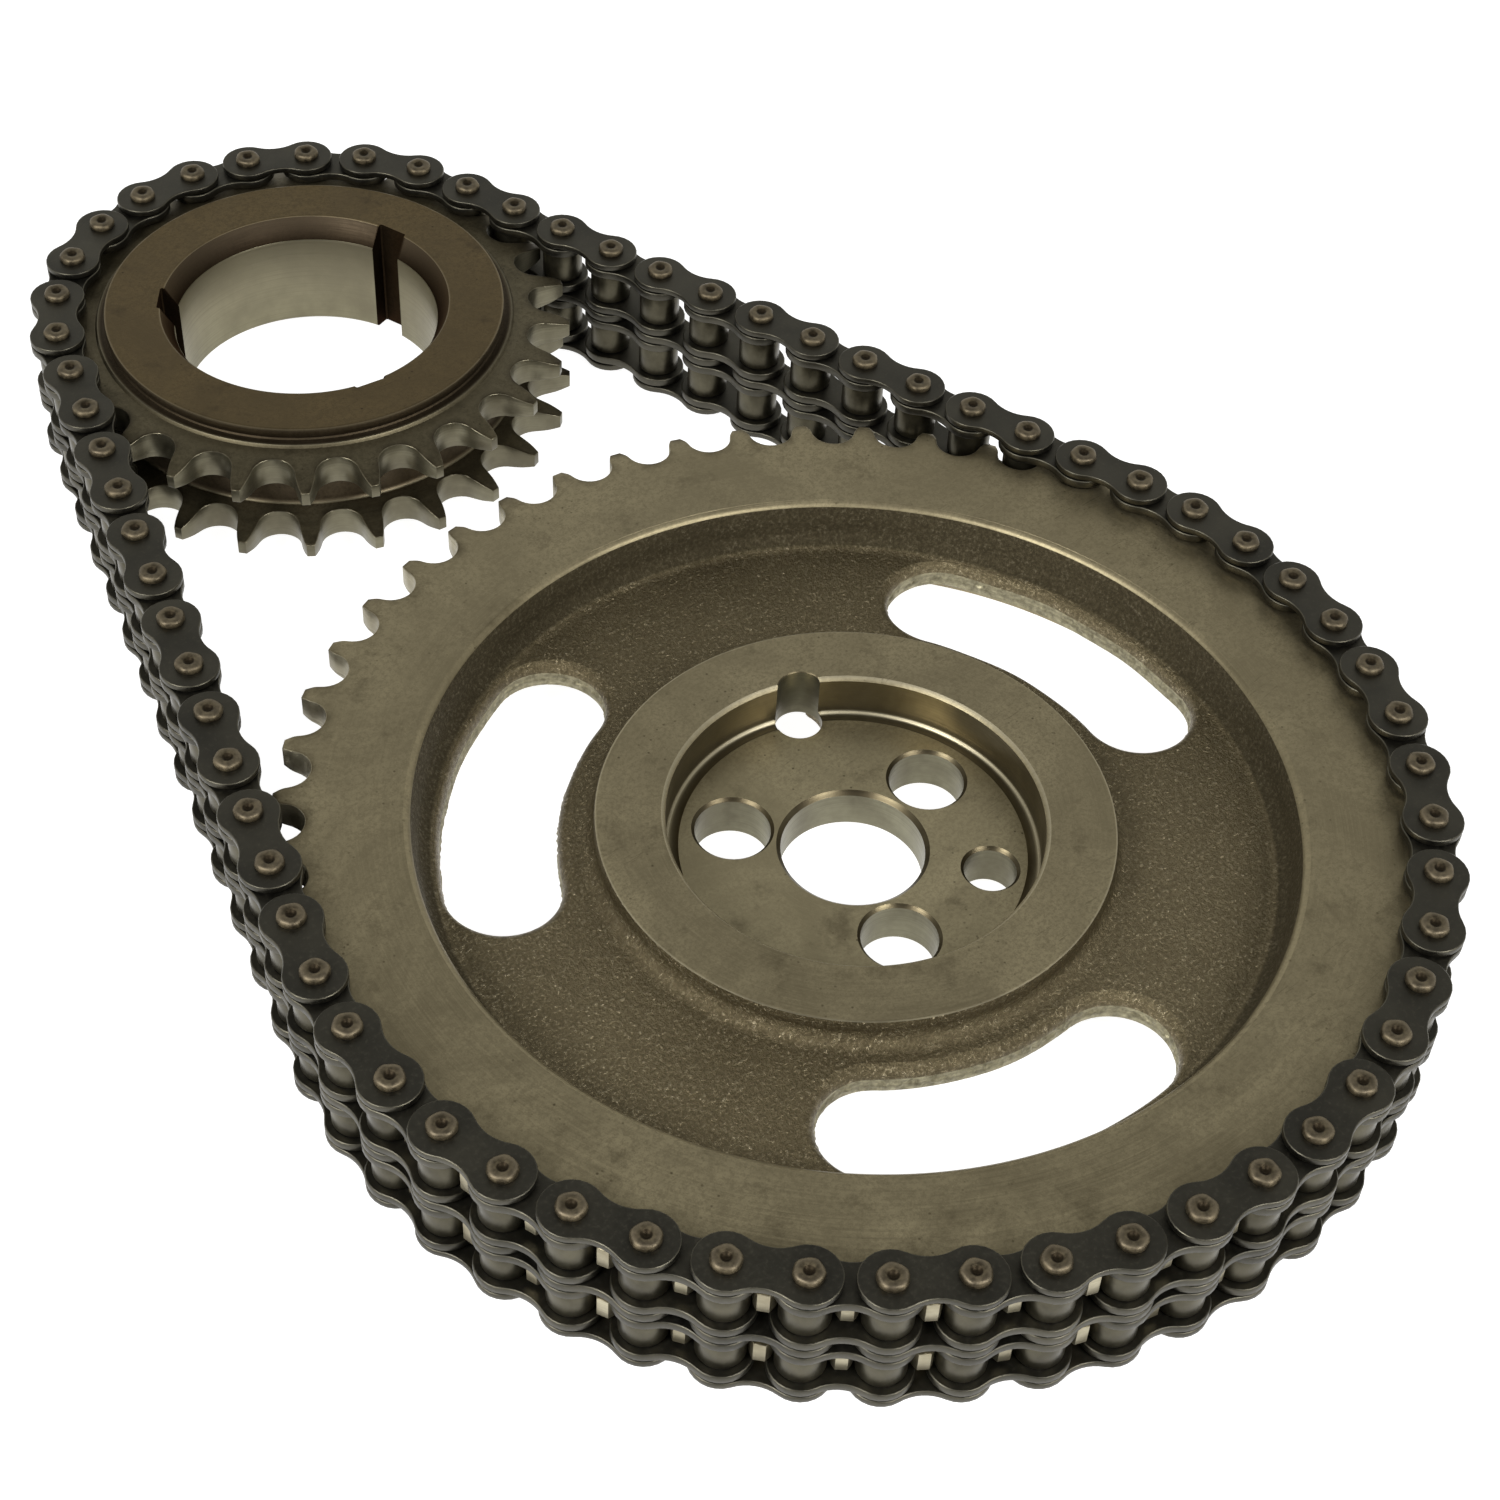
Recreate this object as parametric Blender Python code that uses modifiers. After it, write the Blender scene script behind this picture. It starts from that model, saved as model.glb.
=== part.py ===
"""Timing set: a duplex roller chain with its cam sprocket and its crank sprocket, laid flat.

Metres, +Z up. The line through both sprocket centres runs along +Y, crank sprocket at +Y. The
origin is under the middle of the set, at the level of the lowest pin ends.

The chain has 66 links. An outer link is three plates riveted on two pins. An inner link is a pair
of plates on two bushed rollers, once in the upper and once in the lower strand. Fourteen links in
the two free runs are separate, hinged pieces. The links that lie on the sprocket teeth are joined
in pairs: one outer link with the inner halves beside it. Pins are counted clockwise, seen from
above, from the far end of the crank sprocket.
"""

import math

import bmesh
import bpy

MM = 0.001

# Chain
PITCH = 9.525 * MM
LINK_COUNT = 66
FIRST_PIN = 2.3687  # pitches from the far end of the crank wrap to pin 0
ROLLER_RADIUS = 3.175 * MM
PIN_RADIUS = 1.64 * MM
PIN_LENGTH = 23.2 * MM
BORE_RADIUS = 2.3 * MM
PLATE_RADIUS = 4.13 * MM
PLATE_END_ANGLE = 66  # degrees either way that a plate's round end covers
WAIST_HALF_WIDTH = 2.9 * MM
LOBE_SPREAD = 0.62  # radians from a lobe's middle to each of its two corners
STRAND_OFFSET = 5.12 * MM  # from the chain's middle plane to the middle of a strand
INNER_PLATE_LOW = 2.86 * MM  # heights from the middle of a strand
INNER_PLATE_HIGH = 4.16 * MM
OUTER_PLATE_LOW = 4.46 * MM
OUTER_PLATE_HIGH = 5.46 * MM
MIDDLE_PLATE_HALF = 0.65 * MM
SEAT_GAP = 0.3 * MM
SMALL_SIDES = 6  # of a pin, a roller or a bore
JOIN = 0.2 * MM  # how far a roller runs into the plates on either side of it

CHAIN_HEIGHT = PIN_LENGTH / 2  # height of the chain's middle plane above the ground

# Runs of hinged links, each from its first pin to its last
RIGHT_RUN = (6, 13)
LEFT_RUN = (48, 55)

# Sprocket teeth
CAM_TEETH = 50
CRANK_TEETH = 25
TOOTH_HALF_WIDTH = 2.4 * MM
GULLET_RADIUS = 3.7 * MM
CAM_TIP_RADIUS = 76.0 * MM
CRANK_TIP_RADIUS = 41.0 * MM
TIP_FLARE = 0.75 * MM  # how much wider a crank gullet is at the tips, on each side
GROOVE_DEPTH = 5.2 * MM  # from the pitch circle to the groove between the tooth rows
ROW_TOP = CHAIN_HEIGHT + STRAND_OFFSET + TOOTH_HALF_WIDTH
ROW_BOTTOM = CHAIN_HEIGHT - STRAND_OFFSET - TOOTH_HALF_WIDTH
TURNED_STEPS = 36
CAM_SEATED_PIN = 16  # a pin that lies in a gullet of the cam sprocket
CRANK_SEATED_PIN = 0

# Cam sprocket
RIM_INNER_RADIUS = 59.9 * MM
RIM_STEP = 0.6 * MM  # height and width of the small step along the rim's inner edges
RIM_FOOT_RADIUS = 58.2 * MM
WEB_TOP = 12.7 * MM
WEB_BOTTOM = 8.7 * MM
CAM_HUB_RADIUS = 34.9 * MM
CAM_HUB_FOOT_RADIUS = 35.7 * MM
CAM_HUB_TOP = 16.5 * MM
CAM_REAR_RADIUS = 31.0 * MM
CAM_REAR = 3.6 * MM
RECESS_RADIUS = 25.6 * MM
RECESS_FLOOR = 10.0 * MM
PILOT_RADIUS = 9.8 * MM
BOLT_CIRCLE_RADIUS = 16.5 * MM
BOLT_HOLE_RADIUS = 5.2 * MM
BOLT_ANGLE = 10.5
DOWEL_CIRCLE_RADIUS = 18.7 * MM
DOWEL_RADIUS = 3.6 * MM
DOWEL_ANGLE = -50.0
EDGE_HOLE_CIRCLE_RADIUS = 24.2 * MM
EDGE_HOLE_RADIUS = 3.3 * MM
EDGE_HOLE_ANGLE = 67.0
NOTCH_CIRCLE_RADIUS = 27.5 * MM  # the notch in the rear boss, behind the edge hole
NOTCH_RADIUS = 4.8 * MM
NOTCH_TOP = 8.5 * MM
SLOT_INNER_RADIUS = 39.8 * MM
SLOT_OUTER_RADIUS = 55.5 * MM
SLOT_ANGLE = 12.5
SLOT_HALF_SPAN = 20.5  # degrees from a slot's middle to the centre of its round end
HOLE_SIDES = 12

# Crank sprocket
BORE = 20.32 * MM
BORE_CHAMFER_RADIUS = 22.4 * MM
BORE_CHAMFER_DEPTH = 3.4 * MM
CRANK_TOP = 21.5 * MM
CRANK_REAR = 2.4 * MM
CRANK_HUB_RADIUS = 30.9 * MM
CRANK_LIP_RADIUS = 32.2 * MM
CRANK_LIP_TOP = 19.8 * MM
CRANK_REAR_RADIUS = 31.0 * MM
KEYWAY_WIDTH = 5.0 * MM
KEYWAY_DEPTH_RADIUS = 22.7 * MM
KEYWAY_ANGLES = (18.2, 141.0, -98.0)

CUT_MARGIN = 2.0 * MM  # how far a cutter runs past the faces that it cuts
MERGE = 0.01 * MM
SMOOTH_UNDER = math.radians(32)

PLATE_COLOUR = (0.035, 0.037, 0.040, 1.0)
INNER_PLATE_COLOUR = (0.050, 0.050, 0.048, 1.0)
CAM_COLOUR = (0.150, 0.140, 0.100, 1.0)
CRANK_COLOUR = (0.110, 0.090, 0.062, 1.0)


def clear_scene():
    for obj in list(bpy.data.objects):
        bpy.data.objects.remove(obj, do_unlink=True)


def new_collection(name, hidden):
    collection = bpy.data.collections.new(name)
    bpy.context.scene.collection.children.link(collection)
    collection.hide_render = hidden
    return collection


def steel(name, colour, roughness):
    material = bpy.data.materials.new(name)
    material.use_nodes = True
    shader = material.node_tree.nodes["Principled BSDF"]
    shader.inputs["Base Color"].default_value = colour
    shader.inputs["Metallic"].default_value = 0.9
    shader.inputs["Roughness"].default_value = roughness
    material.diffuse_color = colour
    return material


# ---------------------------------------------------------------- chain path


def pitch_radius(teeth):
    """Radius of the circle on which the pins lie when the chain is seated on this many teeth."""
    return PITCH / (2 * math.sin(math.pi / teeth))


CAM_PITCH_RADIUS = pitch_radius(CAM_TEETH)
CRANK_PITCH_RADIUS = pitch_radius(CRANK_TEETH)


def path_lengths(centre_distance):
    """Lengths in pitches: half the crank wrap, a free run, and the whole cam wrap."""
    difference = CAM_PITCH_RADIUS - CRANK_PITCH_RADIUS
    lean = math.asin(difference / centre_distance)
    run = math.sqrt(centre_distance**2 - difference**2) / PITCH
    half_crank = (math.pi / 2 - lean) * CRANK_TEETH / (2 * math.pi)
    cam = (math.pi + 2 * lean) * CAM_TEETH / (2 * math.pi)
    return half_crank, run, cam


def closing_centre_distance():
    """The centre distance at which the taut chain has exactly its number of links."""
    low = CAM_PITCH_RADIUS + CRANK_PITCH_RADIUS
    high = LINK_COUNT * PITCH
    for _ in range(60):
        middle = (low + high) / 2
        half_crank, run, cam = path_lengths(middle)
        if 2 * (half_crank + run) + cam < LINK_COUNT:
            low = middle
        else:
            high = middle
    return (low + high) / 2


CENTRE_DISTANCE = closing_centre_distance()
LEAN = math.asin((CAM_PITCH_RADIUS - CRANK_PITCH_RADIUS) / CENTRE_DISTANCE)
HALF_CRANK, RUN, CAM_WRAP = path_lengths(CENTRE_DISTANCE)

# The set's middle lies on the origin: its ends are the outer plates beyond the two sprockets.
CAM_Y = -(CENTRE_DISTANCE + CRANK_PITCH_RADIUS - CAM_PITCH_RADIUS) / 2
CRANK_Y = CAM_Y + CENTRE_DISTANCE


def around(centre_y, radius, angle):
    """The point at this angle clockwise from +Y on a circle round a sprocket's centre."""
    return radius * math.sin(angle), centre_y + radius * math.cos(angle)


def pin_position(index):
    """Centre of a pin in the plan, following the closed path clockwise from the crank's far end."""
    travel = (index + FIRST_PIN) % LINK_COUNT
    side = 1 if travel < HALF_CRANK + RUN + CAM_WRAP / 2 else -1
    if side < 0:
        travel = LINK_COUNT - travel
    tangent = math.pi / 2 - LEAN
    crank_step = 2 * math.pi / CRANK_TEETH
    cam_step = 2 * math.pi / CAM_TEETH
    if travel < HALF_CRANK:
        x, y = around(CRANK_Y, CRANK_PITCH_RADIUS, travel * crank_step)
    elif travel < HALF_CRANK + RUN:
        start = around(CRANK_Y, CRANK_PITCH_RADIUS, tangent)
        end = around(CAM_Y, CAM_PITCH_RADIUS, tangent)
        share = (travel - HALF_CRANK) / RUN
        x = start[0] + (end[0] - start[0]) * share
        y = start[1] + (end[1] - start[1]) * share
    else:
        x, y = around(CAM_Y, CAM_PITCH_RADIUS, tangent + (travel - HALF_CRANK - RUN) * cam_step)
    return side * x, y


# ---------------------------------------------------------------- mesh tools


def solid_from_outlines(name, outlines, low, high):
    """A flat solid from closed outlines, the first one outside and the others its holes."""
    curve = bpy.data.curves.new(name, "CURVE")
    curve.dimensions = "2D"
    curve.fill_mode = "BOTH"
    curve.extrude = (high - low) / 2
    for outline in outlines:
        spline = curve.splines.new("POLY")
        spline.points.add(len(outline) - 1)
        for point, (x, y) in zip(spline.points, outline):
            point.co = (x, y, 0, 1)
        spline.use_cyclic_u = True
    guide = bpy.data.objects.new(name + "_curve", curve)
    cutters.objects.link(guide)
    graph = bpy.context.evaluated_depsgraph_get()
    mesh = bpy.data.meshes.new_from_object(guide.evaluated_get(graph))
    bpy.data.objects.remove(guide)
    work = bmesh.new()
    work.from_mesh(mesh)
    bmesh.ops.translate(work, vec=(0, 0, (low + high) / 2), verts=work.verts)
    bmesh.ops.remove_doubles(work, verts=work.verts, dist=MERGE)
    bmesh.ops.recalc_face_normals(work, faces=work.faces)
    work.to_mesh(mesh)
    work.free()
    return new_helper(name, mesh)


def new_helper(name, mesh):
    obj = bpy.data.objects.new(name, mesh)
    cutters.objects.link(obj)
    obj.display_type = "WIRE"
    return obj


def cylinder(name, centre, radius, low, high, sides, turn=0.0):
    mesh = bpy.data.meshes.new(name)
    work = bmesh.new()
    bmesh.ops.create_cone(
        work, cap_ends=True, segments=sides, radius1=radius, radius2=radius, depth=high - low
    )
    work.to_mesh(mesh)
    work.free()
    obj = new_helper(name, mesh)
    obj.location = (centre[0], centre[1], (low + high) / 2)
    obj.rotation_euler.z = turn
    return obj


def turned_solid(name, profile):
    """A solid of revolution. The closed profile of (radius, height) runs down its outer side."""
    work = bmesh.new()
    corners = [work.verts.new((radius, 0, height)) for radius, height in profile]
    for first, second in zip(corners, corners[1:] + corners[:1]):
        work.edges.new((first, second))
    mesh = bpy.data.meshes.new(name)
    work.to_mesh(mesh)
    work.free()
    obj = new_helper(name, mesh)
    screw = obj.modifiers.new("turn", "SCREW")
    screw.steps = TURNED_STEPS
    screw.render_steps = TURNED_STEPS
    screw.use_merge_vertices = True
    screw.merge_threshold = MERGE
    return obj


def combine(name, base, added, removed):
    """One mesh: the base with the added solids joined on and the removed ones cut away."""
    for other in added + removed:
        boolean = base.modifiers.new(other.name, "BOOLEAN")
        boolean.operation = "UNION" if other in added else "DIFFERENCE"
        boolean.object = other
        boolean.solver = "EXACT"
    graph = bpy.context.evaluated_depsgraph_get()
    mesh = bpy.data.meshes.new_from_object(base.evaluated_get(graph))
    mesh.transform(base.matrix_world)
    mesh.name = name
    for helper in [base] + added + removed:
        bpy.data.objects.remove(helper)
    work = bmesh.new()
    work.from_mesh(mesh)
    bmesh.ops.dissolve_degenerate(work, edges=work.edges, dist=MERGE / 2)
    bmesh.ops.dissolve_limit(
        work, angle_limit=math.radians(0.5), verts=work.verts, edges=work.edges
    )
    work.to_mesh(mesh)
    work.free()
    mesh.materials.clear()
    return mesh


def place(name, mesh, material, location=(0, 0), turn=0.0):
    """A node of the part: it may share its mesh with the others of its kind."""
    if not mesh.materials:
        mesh.materials.append(material)
        mesh.shade_smooth()
        mesh.set_sharp_from_angle(angle=SMOOTH_UNDER)
    obj = bpy.data.objects.new(name, mesh)
    parts.objects.link(obj)
    obj.location = (location[0], location[1], 0)
    obj.rotation_euler.z = turn
    return obj


def arc(centre, radius, start, end, count):
    """Points on an arc, angles in degrees, both ends included."""
    points = []
    for step in range(count):
        angle = math.radians(start + (end - start) * step / (count - 1))
        points.append((centre[0] + radius * math.cos(angle), centre[1] + radius * math.sin(angle)))
    return points


# ---------------------------------------------------------------- chain pieces


def plate_outline():
    """A waisted link plate, with its pins at the origin and one pitch along +X."""
    waist = (PITCH / 2, -WAIST_HALF_WIDTH)
    far_end = arc((PITCH, 0), PLATE_RADIUS, -PLATE_END_ANGLE, PLATE_END_ANGLE, 3)
    near_end = arc((0, 0), PLATE_RADIUS, 180 - PLATE_END_ANGLE, 180 + PLATE_END_ANGLE, 3)
    return [waist] + far_end + [(waist[0], -waist[1])] + near_end


def strand_heights(side, low, high):
    """Heights above the ground for a layer given from the middle of a strand, outwards or not."""
    middle = CHAIN_HEIGHT + side * STRAND_OFFSET
    ends = (middle + side * low, middle + side * high)
    return min(ends), max(ends)


def outer_plates():
    outline = plate_outline()
    plates = []
    for side in (1, -1):
        low, high = strand_heights(side, OUTER_PLATE_LOW, OUTER_PLATE_HIGH)
        plates.append(solid_from_outlines("outer_plate", [outline], low, high))
    low = CHAIN_HEIGHT - MIDDLE_PLATE_HALF
    high = CHAIN_HEIGHT + MIDDLE_PLATE_HALF
    plates.append(solid_from_outlines("middle_plate", [outline], low, high))
    return plates


def pin(centre, turn=0.0):
    return cylinder("pin", centre, PIN_RADIUS, 0, PIN_LENGTH, SMALL_SIDES, turn)


def outer_link_mesh():
    """Three plates riveted on two pins."""
    plates = outer_plates()
    return combine("outer_link", pin((0, 0)), plates + [pin((PITCH, 0))], [])


def inner_strand_mesh(side):
    """Two plates on two bushed rollers, for the upper (1) or the lower (-1) strand."""
    centres = ((0, 0), (PITCH, 0))
    plates = []
    for direction in (-1, 1):
        low, high = strand_heights(side, direction * INNER_PLATE_LOW, direction * INNER_PLATE_HIGH)
        plates.append(solid_from_outlines("inner_plate", [plate_outline()], low, high))
    low, high = strand_heights(side, -INNER_PLATE_LOW - JOIN, INNER_PLATE_LOW + JOIN)
    rollers = [cylinder("roller", c, ROLLER_RADIUS, low, high, SMALL_SIDES) for c in centres]
    low, high = strand_heights(side, -INNER_PLATE_HIGH - CUT_MARGIN, INNER_PLATE_HIGH + CUT_MARGIN)
    bores = [cylinder("bore", c, BORE_RADIUS, low, high, SMALL_SIDES) for c in centres]
    return combine("inner_strand", plates[0], rollers + [plates[1]], bores)


def direction(start, end):
    length = math.dist(start, end)
    return (end[0] - start[0]) / length, (end[1] - start[1]) / length


def between(start, end, distance):
    """The point this far from start on the way to end."""
    along = direction(start, end)
    return start[0] + along[0] * distance, start[1] + along[1] * distance


def band_outline(points):
    """Outline of a band along points: its ends straight, a lobe at each point between them.

    The outer lobes, on the left of the path, are full. The inner ones have two corners.
    """
    sides = []
    for sign in (1, -1):
        side = []
        for index, point in enumerate(points):
            before = points[max(index - 1, 0)]
            after = points[min(index + 1, len(points) - 1)]
            along = direction(before, after)
            across = math.atan2(along[0], -along[1])
            if sign < 0:
                across += math.pi
            reach = PLATE_RADIUS
            spread = (LOBE_SPREAD, 0.0, -LOBE_SPREAD) if sign > 0 else (-LOBE_SPREAD, LOBE_SPREAD)
            if index in (0, len(points) - 1):
                reach = WAIST_HALF_WIDTH
                spread = (0.0,)
            for turn in spread:
                angle = across + turn
                side.append((point[0] + reach * math.cos(angle), point[1] + reach * math.sin(angle)))
        sides.append(side)
    return sides[0] + sides[1][::-1]


def middle_bar(turn):
    """The middle plate of a seated link, as a plain bar."""
    ends = (-ROLLER_RADIUS, PITCH + ROLLER_RADIUS)
    outline = [(ends[0], -WAIST_HALF_WIDTH), (ends[1], -WAIST_HALF_WIDTH)]
    outline += [(ends[1], WAIST_HALF_WIDTH), (ends[0], WAIST_HALF_WIDTH)]
    reach = STRAND_OFFSET - INNER_PLATE_HIGH
    bar = solid_from_outlines("middle_bar", [outline], CHAIN_HEIGHT - reach, CHAIN_HEIGHT + reach)
    bar.rotation_euler.z = turn
    return bar


def seated_link_mesh(first, first_seated, second_seated):
    """An outer link on the teeth, with rollers and inner half links at its seated pins."""
    home = pin_position(first)
    points = []
    for index in (first - 1, first, first + 1, first + 2):
        x, y = pin_position(index)
        points.append((x - home[0], y - home[1]))
    half = PITCH / 2 - SEAT_GAP / 2
    start = between(points[1], points[0], half)
    end = between(points[2], points[3], half)
    line = direction(points[1], points[2])
    turn = math.atan2(line[1], line[0])
    solids = []
    band = [start, points[1], points[2], end]
    outer = OUTER_PLATE_HIGH
    if not (first_seated and second_seated):
        solids += outer_plates()
        for plate in solids:
            plate.rotation_euler.z = turn
        outer = (OUTER_PLATE_LOW + OUTER_PLATE_HIGH) / 2
        if first_seated:
            band = [start, points[1], between(points[1], points[2], ROLLER_RADIUS)]
        else:
            band = [between(points[2], points[1], ROLLER_RADIUS), points[2], end]
    for side in (1, -1):
        low, high = strand_heights(side, INNER_PLATE_LOW, outer)
        solids.append(solid_from_outlines("block", [band_outline(band)], low, high))
    if first_seated and second_seated:
        solids.append(middle_bar(turn))
    pins = [pin(points[1], turn), pin(points[2], turn)]
    for point, seated in ((points[1], first_seated), (points[2], second_seated)):
        if seated:
            low = strand_heights(-1, 0, INNER_PLATE_LOW + JOIN)[0]
            high = strand_heights(1, 0, INNER_PLATE_LOW + JOIN)[1]
            roller = cylinder("roller", point, ROLLER_RADIUS, low, high, SMALL_SIDES, turn)
            solids.append(roller)
    return combine("seated_link", pins[0], solids + [pins[1]], [])


def seated_firsts():
    """The first pin of every outer link that isn't in a hinged run, in order round the chain."""
    firsts = []
    for first in range(1, LINK_COUNT, 2):
        in_right = RIGHT_RUN[0] < first < RIGHT_RUN[1]
        in_left = LEFT_RUN[0] < first < LEFT_RUN[1]
        if not in_right and not in_left:
            firsts.append(first)
    return firsts


def build_seated_links():
    run_ends = RIGHT_RUN + LEFT_RUN
    for number, first in enumerate(seated_firsts(), start=1):
        mesh = seated_link_mesh(first, first not in run_ends, first + 1 not in run_ends)
        place(f"seated_link_{number:02d}", mesh, plate_steel, pin_position(first))


def build_run(side_name, run, outer_mesh, strand_meshes):
    for number, first in enumerate(range(run[0], run[1]), start=1):
        start = pin_position(first)
        line = direction(start, pin_position(first + 1))
        turn = math.atan2(line[1], line[0])
        if number % 2:
            for level, mesh in strand_meshes.items():
                place(f"{side_name}_inner_link_{number}_{level}", mesh, inner_steel, start, turn)
        else:
            place(f"{side_name}_outer_link_{number}", outer_mesh, plate_steel, start, turn)


# ---------------------------------------------------------------- sprockets


def tooth_outline(teeth, tip_radius, flare, centre_y, seated_pin):
    """Outline of one tooth row: a round gullet at every pin place, with flat-topped teeth."""
    radius = pitch_radius(teeth)
    x, y = pin_position(seated_pin)
    phase = math.degrees(math.atan2(y - centre_y, x))
    outline = []
    for tooth in range(teeth):
        angle = phase + tooth * 360 / teeth
        middle = math.radians(angle)
        centre = (radius * math.cos(middle), radius * math.sin(middle))
        gullet = arc(centre, GULLET_RADIUS, angle - 90, angle - 270, 5)
        half_mouth = math.degrees((GULLET_RADIUS + flare) / tip_radius)
        if flare:
            ends = [math.radians(angle - half_mouth), math.radians(angle + half_mouth)]
            tips = [(tip_radius * math.cos(a), tip_radius * math.sin(a)) for a in ends]
            gullet = [tips[0]] + gullet[1:-1] + [tips[1]]
        outline += gullet
    return outline


def tooth_rows(teeth, tip_radius, hole_radius, flare, centre_y, seated_pin):
    outline = tooth_outline(teeth, tip_radius, flare, centre_y, seated_pin)
    hole = arc((0, 0), hole_radius, 0, 360, TURNED_STEPS + 1)[1:]
    rows = []
    for side in (1, -1):
        low, high = strand_heights(side, -TOOTH_HALF_WIDTH, TOOTH_HALF_WIDTH)
        rows.append(solid_from_outlines("tooth_row", [outline, hole], low, high))
    return rows


def kidney_outline(angle):
    """A slot bent round the axis, with round ends."""
    middle_radius = (SLOT_INNER_RADIUS + SLOT_OUTER_RADIUS) / 2
    end_radius = (SLOT_OUTER_RADIUS - SLOT_INNER_RADIUS) / 2
    start = angle - SLOT_HALF_SPAN
    end = angle + SLOT_HALF_SPAN
    centres = [arc((0, 0), middle_radius, a, a, 2)[0] for a in (start, end)]
    outline = arc((0, 0), SLOT_OUTER_RADIUS, start, end, 7)
    outline += arc(centres[1], end_radius, end, end + 180, 7)[1:-1]
    outline += arc((0, 0), SLOT_INNER_RADIUS, end, start, 6)
    outline += arc(centres[0], end_radius, start + 180, start + 360, 7)[1:-1]
    return outline


def round_hole(circle_radius, angle, radius, low, high):
    centre = arc((0, 0), circle_radius, angle, angle, 2)[0]
    return cylinder("hole", centre, radius, low - CUT_MARGIN, high + CUT_MARGIN, HOLE_SIDES)


def cam_sprocket_mesh():
    """Toothed rim, thin cast web with three kidney slots, and a hub with a round recess."""
    groove = CAM_PITCH_RADIUS - GROOVE_DEPTH
    profile = [
        (groove, ROW_TOP - RIM_STEP),
        (groove, ROW_BOTTOM + RIM_STEP),
        (RIM_INNER_RADIUS, ROW_BOTTOM + RIM_STEP),
        (RIM_FOOT_RADIUS, WEB_BOTTOM),
        (CAM_REAR_RADIUS, WEB_BOTTOM),
        (CAM_REAR_RADIUS, CAM_REAR),
        (PILOT_RADIUS, CAM_REAR),
        (PILOT_RADIUS, RECESS_FLOOR),
        (RECESS_RADIUS, RECESS_FLOOR),
        (RECESS_RADIUS, CAM_HUB_TOP),
        (CAM_HUB_RADIUS, CAM_HUB_TOP),
        (CAM_HUB_FOOT_RADIUS, WEB_TOP),
        (RIM_FOOT_RADIUS, WEB_TOP),
        (RIM_INNER_RADIUS, ROW_TOP - RIM_STEP),
    ]
    body = turned_solid("cam_body", profile)
    step_radius = RIM_INNER_RADIUS + RIM_STEP
    rows = tooth_rows(CAM_TEETH, CAM_TIP_RADIUS, step_radius, 0, CAM_Y, CAM_SEATED_PIN)
    cuts = []
    for third in range(3):
        turn = third * 120
        slot = kidney_outline(SLOT_ANGLE + turn)
        low = WEB_BOTTOM - CUT_MARGIN
        cuts.append(solid_from_outlines("slot", [slot], low, WEB_TOP + CUT_MARGIN))
        cuts.append(
            round_hole(BOLT_CIRCLE_RADIUS, BOLT_ANGLE + turn, BOLT_HOLE_RADIUS, CAM_REAR, RECESS_FLOOR)
        )
    cuts.append(round_hole(DOWEL_CIRCLE_RADIUS, DOWEL_ANGLE, DOWEL_RADIUS, CAM_REAR, RECESS_FLOOR))
    cuts.append(
        round_hole(EDGE_HOLE_CIRCLE_RADIUS, EDGE_HOLE_ANGLE, EDGE_HOLE_RADIUS, CAM_REAR, CAM_HUB_TOP)
    )
    notch_centre = arc((0, 0), NOTCH_CIRCLE_RADIUS, EDGE_HOLE_ANGLE, EDGE_HOLE_ANGLE, 2)[0]
    low = CAM_REAR - CUT_MARGIN
    cuts.append(cylinder("notch", notch_centre, NOTCH_RADIUS, low, NOTCH_TOP, HOLE_SIDES))
    return combine("cam_sprocket", body, rows, cuts)


def keyway(angle):
    half = KEYWAY_WIDTH / 2
    inner = BORE - CUT_MARGIN
    outline = [(inner, -half), (KEYWAY_DEPTH_RADIUS, -half), (KEYWAY_DEPTH_RADIUS, half), (inner, half)]
    low = CRANK_REAR - CUT_MARGIN
    cutter = solid_from_outlines("keyway", [outline], low, CRANK_TOP + CUT_MARGIN)
    cutter.rotation_euler.z = math.radians(angle)
    return cutter


def crank_sprocket_mesh():
    """A thick ring with a raised hub, a chamfered bore with three keyways, and two tooth rows."""
    groove = CRANK_PITCH_RADIUS - GROOVE_DEPTH
    profile = [
        (groove, ROW_TOP - RIM_STEP),
        (groove, ROW_BOTTOM + RIM_STEP),
        (CRANK_REAR_RADIUS, ROW_BOTTOM + RIM_STEP),
        (CRANK_REAR_RADIUS, CRANK_REAR),
        (BORE, CRANK_REAR),
        (BORE, CRANK_TOP - BORE_CHAMFER_DEPTH),
        (BORE_CHAMFER_RADIUS, CRANK_TOP),
        (CRANK_HUB_RADIUS, CRANK_TOP),
        (CRANK_HUB_RADIUS, CRANK_LIP_TOP),
        (CRANK_LIP_RADIUS, CRANK_LIP_TOP),
        (CRANK_LIP_RADIUS, ROW_TOP - RIM_STEP),
    ]
    body = turned_solid("crank_body", profile)
    hole_radius = CRANK_REAR_RADIUS - RIM_STEP
    rows = tooth_rows(
        CRANK_TEETH, CRANK_TIP_RADIUS, hole_radius, TIP_FLARE, CRANK_Y, CRANK_SEATED_PIN
    )
    return combine("crank_sprocket", body, rows, [keyway(angle) for angle in KEYWAY_ANGLES])


clear_scene()
parts = new_collection("timing_chain_set", hidden=False)
cutters = new_collection("cutters", hidden=True)
plate_steel = steel("blued_plate_steel", PLATE_COLOUR, 0.42)
inner_steel = steel("inner_link_steel", INNER_PLATE_COLOUR, 0.35)
cam_steel = steel("cam_sprocket_steel", CAM_COLOUR, 0.55)
crank_steel = steel("crank_sprocket_steel", CRANK_COLOUR, 0.5)

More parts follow.
